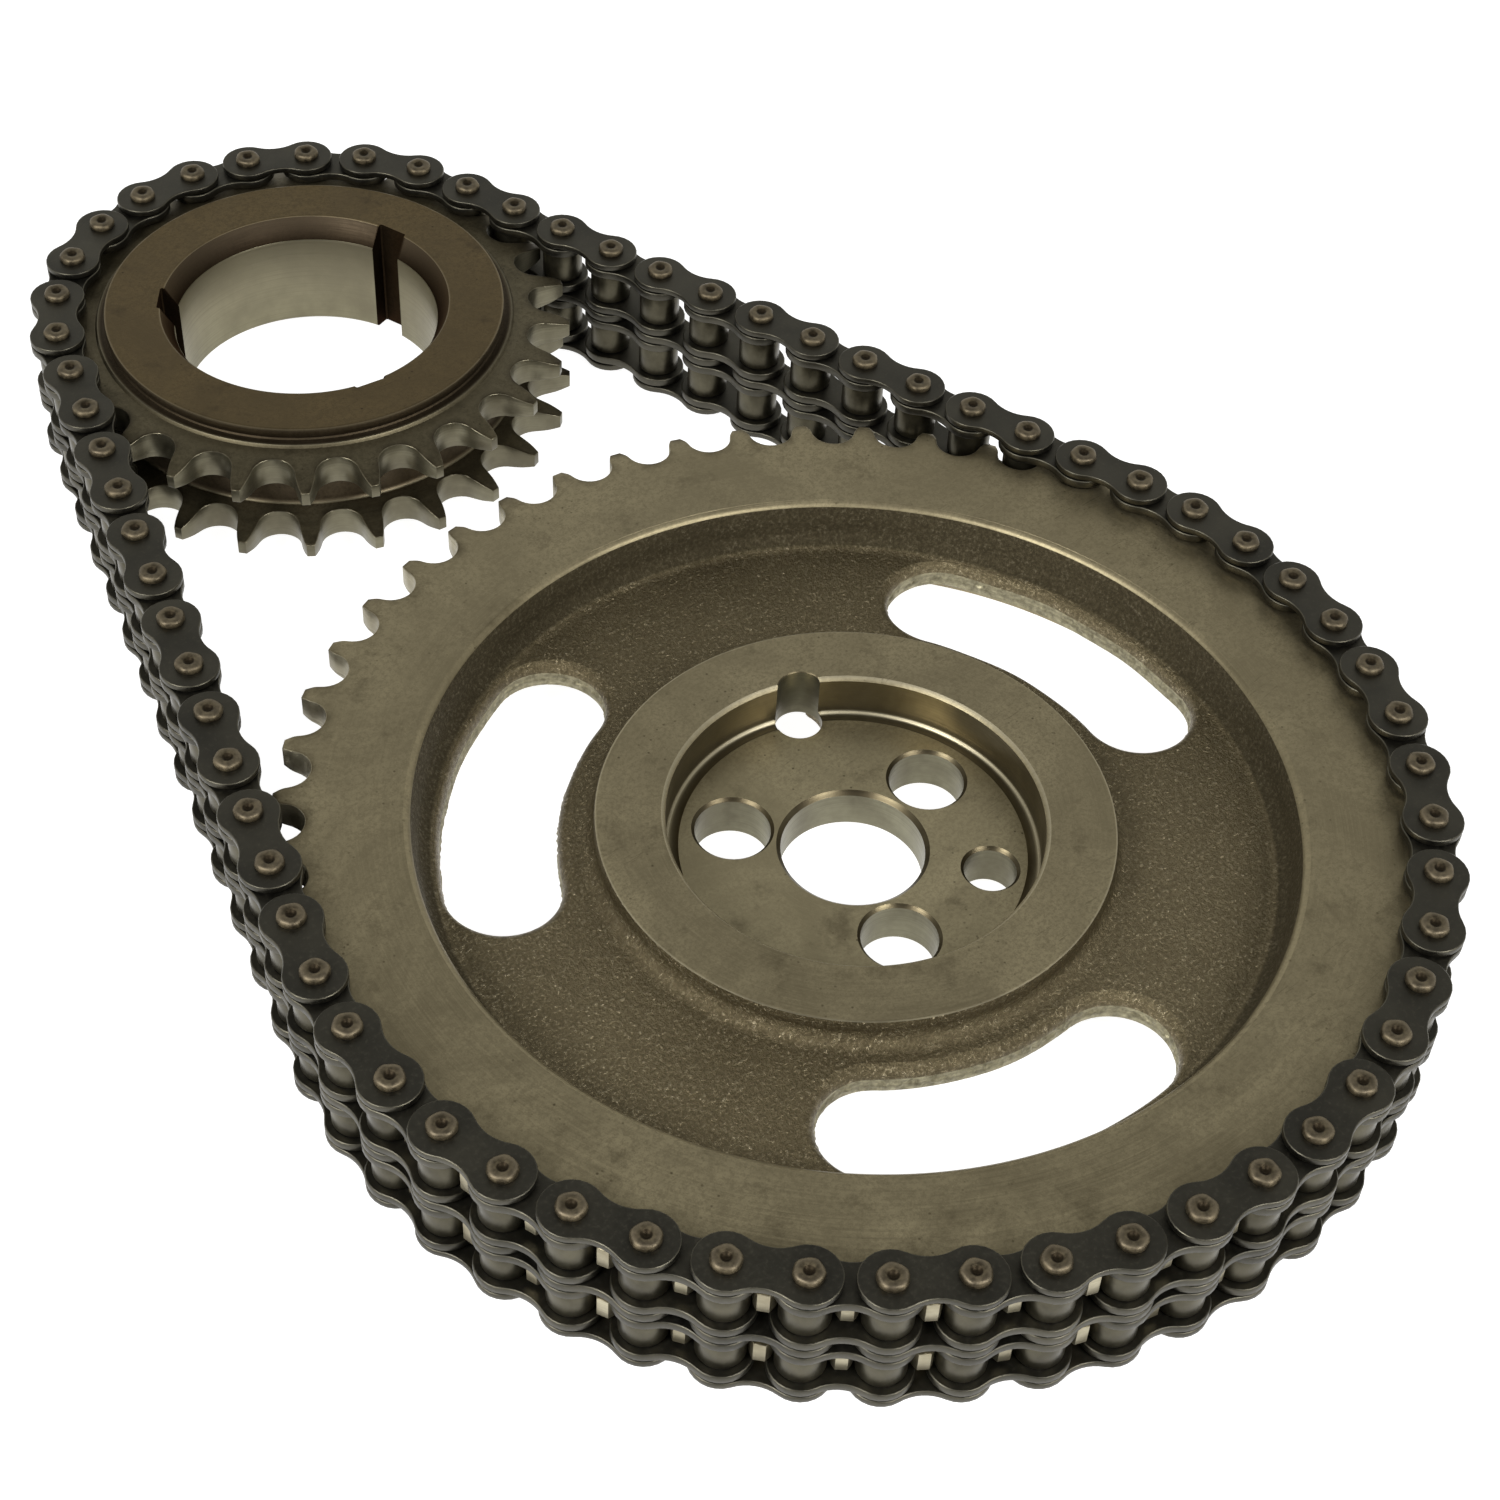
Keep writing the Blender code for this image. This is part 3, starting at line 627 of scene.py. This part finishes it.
def build_inner_link(first, side, level_name):
    body = body_of_link(first)
    level = MIDDLE + side * STRAND
    shape = Shape()
    near, far = INNER_PLATE
    add_plate(shape, level + near, level + far, BUSH_R)
    add_plate(shape, level - far, level - near, BUSH_R)
    add_bushing(shape, (0, 0), level, BUSH_BORE)
    add_bushing(shape, (PITCH, 0), level, OPEN_BORE if first in OPEN_LINKS else BUSH_BORE)
    shape.move(link_matrix(first))
    mesh = shape.mesh("inner_link", [plate_steel, bushing_steel])
    link = piece(f"inner_link_{first:02d}_{level_name}", mesh, body)
    for index in (first, first + 1):
        shape = Shape()
        add_roller(shape, pin_position(index), level)
        name = f"roller_{index % LINKS:02d}_{level_name}"
        piece(name, shape.mesh("roller", [roller_steel], 40), body)
    return link


def build_chain():
    dice = random.Random(7)
    seated = 0
    for first in range(LINKS):
        body = body_of_link(first)
        if first % 2:
            link = build_outer_link(first, dice)
            if body == "seated_chain":
                seated += 1
                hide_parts(f"seated_link_{seated:02d}")
            else:
                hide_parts(body.replace("_link_", "_outer_link_"))
            continue
        for side, level_name in ((1, "upper"), (-1, "lower")):
            link = build_inner_link(first, side, level_name)
            if body != "seated_chain":
                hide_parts(body.replace("_link_", "_inner_link_") + "_" + level_name)


# ---------------------------------------------------------------- sprockets


def tooth_outline(teeth, pitch_radius, seat, wrap, crest, tip, tip_half):
    """One tooth row, anticlockwise: round gullets, flanks that bend over to a narrow tip land.

    seat is the angle of a seated pin, wrap the angle over which half a gullet is round, and
    crest how far past the pitch circle a flank keeps its direction before it bends over.
    """
    half_step = math.pi / teeth
    end = math.radians(180 - wrap)
    foot = np.array((pitch_radius + GULLET_R * math.cos(end), GULLET_R * math.sin(end)))
    slope = np.array((math.sin(end), -math.cos(end)))
    bend = foot + slope * (pitch_radius + crest - foot[0]) / slope[0]
    corner_angle = half_step - math.asin(tip_half / tip)
    corner = tip * np.array((math.cos(corner_angle), math.sin(corner_angle)))
    flank = []
    for t in np.linspace(0, 1, 8):
        flank.append((1 - t) ** 2 * foot + 2 * t * (1 - t) * bend + t * t * corner)
    bottom = arc((pitch_radius, 0), GULLET_R, 180 - wrap, 180, 8)
    upper = [np.array(p) for p in reversed(bottom)] + flank[1:]
    lower = [np.array((p[0], -p[1])) for p in reversed(upper)][:-1]
    outline = []
    for tooth in range(teeth):
        angle = seat + tooth * 2 * half_step
        turn = np.array(((math.cos(angle), -math.sin(angle)), (math.sin(angle), math.cos(angle))))
        outline += [turn @ p for p in lower + upper]
    return np.array(outline)


def seat_angle(pin, centre_y):
    x, y = pin_position(pin)
    return math.atan2(y - centre_y, x)


def add_tooth_row(shape, outline, inner, relief_start, level, halves, kinds, centre_y):
    """A toothed ring. halves gives its half thickness by radius, above and below its middle."""
    count = len(outline)
    edge_line = shifted(outline, -TOOTH_BEVEL)
    soft_line = shifted(outline, -TOOTH_BEVEL * 0.3)
    unit = edge_line / np.linalg.norm(edge_line, axis=1)[:, None]
    rings = []
    for sign, half in zip((1, -1), halves):

        def ring(points, drop, **marks):
            coords = []
            for x, y in points:
                height = level + sign * half(float(np.hypot(x, y))) - sign * drop
                coords.append((x, y + centre_y, height))
            return shape.add(coords, **marks)

        start = unit * relief_start
        levels = [ring(unit * inner, 0.04), ring(unit * (inner + 0.04), 0.0), ring(start, 0.0)]
        for share in (0.3, 0.6, 0.85):
            stain = [max(0.0, share - 0.25)] * count
            levels.append(ring(start + (edge_line - start) * share, 0.0, stain=stain))
        levels.append(ring(edge_line, 0.0, stain=1.0))
        # painted highlight: the bevel's middle ring carries the edge mark and is painted paler
        levels.append(ring(soft_line, TOOTH_BEVEL * 0.3, edge=0.8, stain=0.5))
        levels.append(ring(outline, TOOTH_BEVEL))
        for a, b in zip(levels, levels[1:]):
            shape.strip(a, b, count, kinds[0] if a != levels[-2] else kinds[1])
        rings.append(levels)
    shape.strip(rings[0][-1], rings[1][-1], count, kinds[1])
    shape.strip(rings[0][0], rings[1][0], count, kinds[0])


def relief(start, steps):
    """Half thickness of a tooth row by radius: full up to start, then along the given steps."""
    radii = [start] + [r for r, _ in steps]
    halves = [ROW_HALF] + [h for _, h in steps]

    def half(radius):
        return float(np.interp(radius, radii, halves))

    return half


def helper(name, mesh):
    obj = bpy.data.objects.new(name, mesh)
    bpy.context.scene.collection.objects.link(obj)
    return obj


def cutter(profile, centre, looks, kinds):
    shape = Shape()
    shape.turned(profile, 48, centre, kinds=kinds, closed=False)
    return helper("cutter", shape.mesh("cutter", looks, 30))


def cut(base, cutters):
    """The base mesh with each cutter taken out of it, smooth again but for its real corners."""
    for tool in cutters:
        boolean = base.modifiers.new("cut", "BOOLEAN")
        boolean.operation = "DIFFERENCE"
        boolean.solver = "EXACT"
        boolean.object = tool
    graph = bpy.context.evaluated_depsgraph_get()
    mesh = bpy.data.meshes.new_from_object(base.evaluated_get(graph))
    for obj in [base] + cutters:
        bpy.data.objects.remove(obj)
    work = bmesh.new()
    work.from_mesh(mesh)
    crease(work, 38)
    work.to_mesh(mesh)
    work.free()
    return mesh


def add_rows(mesh, rows, looks):
    """Adds the tooth rows to the mesh of a sprocket's body."""
    joined = bmesh.new()
    joined.from_mesh(mesh)
    joined.from_mesh(rows.mesh("tooth_rows", looks, 42))
    joined.to_mesh(mesh)
    joined.free()


def slot_cutter(angle, looks, kinds, dice):
    """A kidney slot: a rounded lip of kinds[0] above a wall of kinds[1], left rough by the core."""
    middle, end = (SLOT_INNER + SLOT_OUTER) / 2, (SLOT_OUTER - SLOT_INNER) / 2
    first, last = angle - SLOT_SPAN, angle + SLOT_SPAN
    centres = [arc((0, CAM_Y), middle, a, a, 2)[0] for a in (first, last)]
    outline = arc((0, CAM_Y), SLOT_OUTER, first, last, 90)
    outline += arc(centres[1], end, last, last + 180, 54)[1:-1]
    outline += arc((0, CAM_Y), SLOT_INNER, last, first, 66)
    outline += arc(centres[0], end, first + 180, first + 360, 54)[1:-1]
    count = len(outline)
    # (offset from the outline, height): a quarter round from above the web, then the core's wall
    turns = np.radians(range(6, 87, 8))
    lip = [(3.0, 14.6)]
    lip += [(LIP_R - LIP_R * math.sin(a), 10.95 + LIP_R * math.cos(a)) for a in turns]
    wall = [(-0.06, 10.72), (0.09, 10.3), (-0.08, 9.8), (0.0, 9.25), (0.08, 8.65), (0.08, 6.0)]
    waves = []
    for _ in range(6):
        start, times = dice.uniform(0, 6.28), dice.choice((3, 4, 5, 7, 8))
        waves.append((start, times, dice.uniform(0.01, 0.05)))
    radii = [math.hypot(x, y - CAM_Y) for x, y in outline]
    narrow = np.interp(radii, (50.0, 55.5), (1.0, 0.5))  # the lip narrows beside the rim
    shape = Shape()
    starts = []
    for level, (offset, height) in enumerate(lip + wall):
        crumbly = len(lip) <= level < len(lip) + 4
        distances = []
        for i in range(count):
            turn = 2 * math.pi * i / count
            wave = sum(size * math.sin(times * turn + start) for start, times, size in waves)
            rough = dice.uniform(-0.2, 0.2) if crumbly else 0.0
            distances.append(wave + rough + offset * float(narrow[i]))
        points = shifted(outline, np.array(distances)[:, None])
        # painted highlight and glint: the lip and the top of the wall carry the edge mark
        edge = 0.0
        if 0 < level <= len(lip) + 1:
            edge = 0.35 if level < len(lip) else 1.0
        starts.append(shape.add([(x, y, height) for x, y in points], edge=edge))
    for level, (a, b) in enumerate(zip(starts, starts[1:])):
        shape.strip(a, b, count, kinds[0] if level < len(lip) - 1 else kinds[1])
    shape.face(range(starts[0], starts[0] + count), kinds[0])
    shape.face(range(starts[-1], starts[-1] + count), kinds[1])
    return helper("slot", shape.mesh("slot", looks, 60))


def cam_looks():
    """The cam sprocket's materials, in the order of the kinds in build_cam."""
    stain = (0.10, 0.08, 0.044)
    return [
        turned_face_look(
            "cam_machined_face", CAM_Y, (0.35, 0.30, 0.183), (0.235, 0.198, 0.118), stain,
            (0.36, 0.52),
        ),
        cast_look("cam_cast_skin", (0.15, 0.12, 0.066), (0.205, 0.167, 0.094), (0.66, 0.58, 0.40)),
        turned_face_look(
            "cam_recess_face", CAM_Y, (0.44, 0.38, 0.235), (0.31, 0.265, 0.16), stain,
            (0.34, 0.48), rings=0.35,
        ),
        bored_look(
            "cam_bored_wall", (0.24, 0.228, 0.155), (0.13, 0.118, 0.078), (0.16, 0.135, 0.085)
        ),
        broken_look(),
        bored_look("cam_tooth_wall", (0.46, 0.42, 0.30), (0.24, 0.21, 0.14)),
        # painted shade: the chamfers of the holes and of the pilot bore are a darkened copy of the
        # bored steel
        bored_look("cam_hole_chamfer", (0.13, 0.108, 0.062), (0.075, 0.060, 0.034)),
        # painted shade: the recess wall and its tool groove are a darkened copy of the faced steel;
        # its pale rim paints the highlight line on the step
        bored_look("cam_recess_wall", (0.18, 0.152, 0.092), (0.12, 0.1, 0.058), (0.6, 0.54, 0.38)),
    ]


def build_cam():
    looks = cam_looks()
    FACE, CAST, RECESS, BORED, BROKEN, TOOTH, SHADED_CHAMFER, WALL = range(8)

    # rim between the tooth rows, and the web's rear
    outer = [(70.6, 18.9, FACE), (70.6, 4.3, FACE), (60.3, 4.3, FACE), (RIM_INNER, 4.45, CAST)]
    outer += [(r, z, CAST) for r, z in arc((55.9, 6.9), 1.8, 0, 90, 6)]
    outer += [(33.4, 8.7, CAST), (31.02, 8.2, BORED)]
    # rear boss and pilot bore
    outer += [(31.0, 3.9, BORED), (30.7, 3.6, FACE), (10.2, 3.6, BORED), (9.8, 4.0, BORED)]
    # the pilot bore's chamfer takes the darkened chamfer material: painted shade
    outer += [(9.8, 9.4, SHADED_CHAMFER), (10.4, RECESS_FLOOR, RECESS)]
    # recess: floor, tool groove, step, wall and chamfer; the step is painted with a highlight line,
    # the groove and the wall with shade
    step = [(25.12, 9.98), (25.3, 10.12)]
    arris = (25.98, 16.47)
    outer += [(23.6, RECESS_FLOOR, WALL), (23.8, 9.82, WALL), (24.75, 9.72, WALL)]
    outer += [(24.95, 9.78, WALL), (*step[0], FACE), (*step[1], WALL), (25.42, 10.4, WALL)]
    outer += [(25.46, 15.95, FACE), (*arris, FACE), (26.05, HUB_TOP, FACE)]
    # hub ring, then the web between two fillets, up to the rim's chamfer
    brow = (34.85, 16.4)
    outer += [(34.6, HUB_TOP, FACE), (*brow, CAST), (34.95, 16.1, CAST)]
    outer += [(r, z, CAST) for r, z in arc((37.2, 14.9), 2.2, 180, 270, 8)]
    steep = arc((55.4, 15.6), 2.9, 270, 350, 9)
    outer += [(r, z, CAST) for r, z in steep]
    outer += [(59.0, 18.45, FACE), (59.45, 18.86, FACE), (RIM_INNER, 19.1, FACE)]
    profile = [(r, z) for r, z, _ in outer]
    kinds = [k for _, _, k in outer]
    # painted highlight: the step, the recess wall's arris and the hub ring's brow carry the edge
    # mark, painted as highlight lines and glints
    edges = [i for i, point in enumerate(profile) if point in step + [arris, brow]]
    # painted shade: the steep rim wall and the foot of its chamfer carry the hollow mark, darkening
    # the cast skin
    dark = [i for i, point in enumerate(profile) if point in steep[3:] + [(59.0, 18.45)]]
    shape = Shape()
    shape.turned(profile, 288, (0, CAM_Y), kinds=kinds, edges=edges, hollows=dark)
    base = helper("cam_base", shape.mesh("cam_base", looks, 40))

    tools = []
    dice = random.Random(11)

    def hole(circle, angle, radius, top, chamfer):
        centre = arc((0, CAM_Y), circle, angle, angle, 2)[0]
        steps = [(0, 1.0), (radius, 1.0), (radius, top - chamfer)]
        steps += [(radius + chamfer + 1.0, top + 1.0), (0, top + 1.0)]
        # the chamfers take the darkened chamfer material: painted shade
        tools.append(cutter(steps, centre, looks, [BORED, BORED, SHADED_CHAMFER, SHADED_CHAMFER, SHADED_CHAMFER]))

    for third in range(3):
        tools.append(slot_cutter(12.5 + 120 * third, looks, (CAST, BROKEN), dice))
        hole(16.5, 10.5 + 120 * third, 5.2, RECESS_FLOOR, 0.45)
    hole(18.7, -50.0, 3.6, RECESS_FLOOR, 0.45)
    hole(24.2, 67.0, 3.3, HUB_TOP, 0.12)
    # the notch in the rear boss, behind the edge hole
    centre = arc((0, CAM_Y), 27.5, 67.0, 67.0, 2)[0]
    notch = [(0, 8.5), (4.7, 8.5), (4.8, 8.4), (4.8, 1.0), (0, 1.0)]
    tools.append(cutter(notch, centre, looks, [CAST] * 5))
    mesh = cut(base, tools)

    # the outer sides of both rows are flat, and the sides towards each other are worn
    rows = Shape()
    outline = tooth_outline(CAM_TEETH, CAM_R, seat_angle(16, CAM_Y), 80, 0.25, CAM_TIP, 0.75)
    flat = relief(72.5, [(74.5, 2.34), (76.0, 2.2), (CAM_TIP, 1.95)])
    worn = relief(71.5, [(74.0, 2.2), (76.0, 1.8), (CAM_TIP, 1.5)])
    for side, halves in ((1, (flat, worn)), (-1, (worn, flat))):
        level = MIDDLE + side * STRAND
        add_tooth_row(rows, outline, RIM_INNER, 71.0, level, halves, (FACE, TOOTH), CAM_Y)
    add_rows(mesh, rows, looks)
    sprocket = piece("cam_sprocket_body", mesh, "cam_sprocket")
    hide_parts("cam_sprocket")


def crank_looks():
    """The crank sprocket's materials, in the order of the kinds in build_crank."""
    return [
        turned_face_look(
            "crank_hub_face", CRANK_Y, (0.150, 0.108, 0.049), (0.100, 0.072, 0.033),
            (0.040, 0.028, 0.014), (0.38, 0.50), rings=0.2, rim=(0.30, 0.25, 0.16),
        ),
        turned_face_look(
            "crank_plate_face", CRANK_Y, (0.155, 0.132, 0.080), (0.098, 0.082, 0.048),
            (0.045, 0.036, 0.021), (0.38, 0.52), rings=0.6, rim=(0.18, 0.158, 0.105),
        ),
        bored_look(
            "crank_ground_bore", (0.23, 0.212, 0.136), (0.15, 0.135, 0.087), (0.28, 0.25, 0.17)
        ),
        # painted shade: the bore chamfer and the keyways are a near-black copy of the hub steel
        turned_face_look(
            "crank_dark_wall", CRANK_Y, (0.026, 0.0175, 0.010), (0.017, 0.0115, 0.0065),
            (0.014, 0.010, 0.006), (0.46, 0.60), rim=(0.12, 0.092, 0.06),
            Specular_IOR_Level=0.1, Specular_Tint=(0.42, 0.27, 0.16, 1.0),
        ),
        bored_look(
            "crank_tooth_wall", (0.20, 0.185, 0.125), (0.115, 0.102, 0.068), (0.24, 0.215, 0.15)
        ),
        # painted shade: the groove between the rows and the undercut beside the hub are a darkened
        # copy of the plate face
        turned_face_look(
            "crank_groove", CRANK_Y, (0.085, 0.064, 0.038), (0.055, 0.041, 0.024),
            (0.03, 0.022, 0.013), (0.42, 0.56), rim=(0.16, 0.13, 0.08),
        ),
    ]


def build_crank():
    looks = crank_looks()
    HUB, PLATE, GROUND, DARK, TOOTH, GROOVE = range(6)

    # groove between the tooth rows, painted with shade, and the rear
    outer = [(33.2, 18.9, GROOVE), (32.75, 14.2, GROOVE), (32.75, 9.6, GROOVE), (33.0, 9.1, PLATE)]
    outer += [(33.25, 8.95, GROOVE), (33.2, 4.3, PLATE), (31.0, 4.3, PLATE), (31.0, 2.7, PLATE)]
    outer += [(30.7, 2.4, PLATE)]
    # ground bore, chamfer painted with shade, and hub face
    outer += [(20.7, 2.4, GROUND), (BORE_R, 2.8, GROUND), (BORE_R, 18.0, GROUND)]
    outer += [(20.42, 18.2, DARK), (22.25, 21.38, HUB), (22.5, 21.5, HUB), (30.45, 21.5, HUB)]
    # undercut beside the hub, then the bead at the plate's inner edge
    outer += [(30.75, 21.4, GROOVE), (30.88, 21.1, GROOVE), (30.85, 20.2, GROOVE)]
    outer += [(30.6, 19.75, GROOVE), (30.75, 19.5, GROOVE), (31.5, 19.45, GROOVE)]
    outer += [(31.85, 19.62, PLATE), (32.05, 19.6, PLATE), (32.2, 19.4, PLATE)]
    outer += [(32.35, 19.14, PLATE), (33.2, 19.1, PLATE)]
    # painted highlight: these edges carry the edge mark, painted paler as highlight lines along the
    # worn edges
    worn = [(33.0, 9.1), (BORE_R, 18.0), (22.25, 21.38), (30.75, 21.4)]
    worn += [(31.85, 19.62), (32.05, 19.6)]
    profile = [(r, z) for r, z, _ in outer]
    kinds = [k for _, _, k in outer]
    edges = [i for i, point in enumerate(profile) if point in worn]
    shape = Shape()
    shape.turned(profile, 240, (0, CRANK_Y), kinds=kinds, edges=edges)
    base = helper("crank_base", shape.mesh("crank_base", looks, 40))

    tools = []
    corners = [(18.3, -2.5), (22.5, -2.5), (22.7, -2.3), (22.7, 2.3), (22.5, 2.5), (18.3, 2.5)]
    for angle in (18.2, 141.0, -98.0):
        key = Shape()
        top = key.add([(x, y, 23.5) for x, y in corners])
        low = key.add([(x, y, 0.4) for x, y in corners])
        # the keyway walls take the near-black wall material: painted shade
        key.strip(top, low, len(corners), DARK)
        key.face(range(top, top + len(corners)), DARK)
        key.face(range(low, low + len(corners)), DARK)
        turn = Matrix.Rotation(math.radians(angle), 4, "Z")
        key.move(Matrix.Translation((0, CRANK_Y, 0)) @ turn)
        tools.append(helper("keyway", key.mesh("keyway", looks, 30)))
    mesh = cut(base, tools)

    rows = Shape()
    seat = seat_angle(0, CRANK_Y)
    outline = tooth_outline(CRANK_TEETH, CRANK_R, seat, 76, 1.35, CRANK_TIP, 0.6)
    side = relief(33.4, [(35.0, 2.34), (37.0, 2.1), (39.0, 1.68), (CRANK_TIP, 1.12)])
    for sign in (1, -1):
        level = MIDDLE + sign * STRAND
        add_tooth_row(rows, outline, 32.0, 33.6, level, (side, side), (PLATE, TOOTH), CRANK_Y)
    add_rows(mesh, rows, looks)
    sprocket = piece("crank_sprocket_body", mesh, "crank_sprocket")
    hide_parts("crank_sprocket")


# ---------------------------------------------------------------- studio


def build_floor():
    half = 3.0
    corners = [(-half, -half, 0), (half, -half, 0), (half, half, 0), (-half, half, 0)]
    mesh = bpy.data.meshes.new("floor")
    mesh.from_pydata(corners, [], [(0, 1, 2, 3)])
    floor = bpy.data.objects.new("floor", mesh)
    floor.location.z = -0.0002
    bpy.context.scene.collection.objects.link(floor)
    material = bpy.data.materials.new("pale_floor")
    material.use_nodes = True
    sockets = material.node_tree.nodes["Principled BSDF"].inputs
    sockets["Base Color"].default_value = (0.5, 0.5, 0.5, 1.0)
    sockets["Roughness"].default_value = 0.9
    sockets["Specular IOR Level"].default_value = 0.1
    sockets["Emission Color"].default_value = (1.0, 1.0, 1.0, 1.0)
    sockets["Emission Strength"].default_value = 0.95
    mesh.materials.append(material)


def build_world():
    """A soft studio: bright beyond the object, as level faces mirror the far side, and dark behind
    the camera, with a gentle glow from both sides."""
    world = bpy.data.worlds.new("studio")
    bpy.context.scene.world = world
    world.use_nodes = True
    nodes, links = world.node_tree.nodes, world.node_tree.links
    direction = nodes.new("ShaderNodeTexCoord").outputs["Generated"]

    def along(axis):
        node = nodes.new("ShaderNodeVectorMath")
        node.operation = "DOT_PRODUCT"
        node.inputs[1].default_value = axis
        links.new(direction, node.inputs[0])
        return node.outputs["Value"]

    def maths(operation, first, constant=0.0):
        node = nodes.new("ShaderNodeMath")
        node.operation = operation
        node.inputs[1].default_value = constant
        links.new(first, node.inputs[0])
        return node

    ahead = nodes.new("ShaderNodeMapRange")
    for socket, value in zip(ahead.inputs[1:5], (0.36, 0.95, -0.06, 0.76)):
        socket.default_value = value
    links.new(along((0.675, 0.737, 0.0)), ahead.inputs["Value"])
    aside = maths("ABSOLUTE", along((0.737, -0.675, 0.0)))
    total = maths("MULTIPLY_ADD", aside.outputs[0], 0.6)
    links.new(ahead.outputs["Result"], total.inputs[2])
    least = maths("MAXIMUM", total.outputs[0], 0.04)
    background = nodes["Background"]
    background.inputs["Color"].default_value = (1.0, 1.0, 0.96, 1.0)
    links.new(least.outputs[0], background.inputs["Strength"])


def soft_box(name, place, power):
    """A square area light that faces the cam sprocket."""
    light = bpy.data.lights.new(name, "AREA")
    light.shape = "RECTANGLE"
    light.size = light.size_y = 0.34
    light.energy = power
    obj = bpy.data.objects.new(name, light)
    bpy.context.scene.collection.objects.link(obj)
    obj.location = place
    direction = Vector((0, -0.046, 0)) - Vector(place)
    obj.rotation_euler = direction.to_track_quat("-Z", "Y").to_euler()


def build_camera():
    camera = bpy.data.cameras.new("camera")
    camera.sensor_width = 36.0
    camera.lens = 66.98
    camera.clip_start = 0.01
    obj = bpy.data.objects.new("camera", camera)
    bpy.context.scene.collection.objects.link(obj)
    right = Vector((0.7655, -0.6421, 0.0411))
    up = Vector((0.4461, 0.5757, 0.6852))
    forward = Vector((0.4636, 0.5062, -0.7272))
    matrix = Matrix((right, up, -forward)).transposed().to_4x4()
    matrix.translation = (-0.17945, -0.22038, 0.2922)
    obj.matrix_world = matrix
    bpy.context.scene.camera = obj


build_chain()
build_cam()
build_crank()
build_floor()
build_world()
soft_box("key", (-0.665, -0.055, 0.529), 5)
soft_box("fill", (0.049, -0.709, 0.529), 4)
build_camera()
bpy.context.scene.view_settings.view_transform = "Standard"
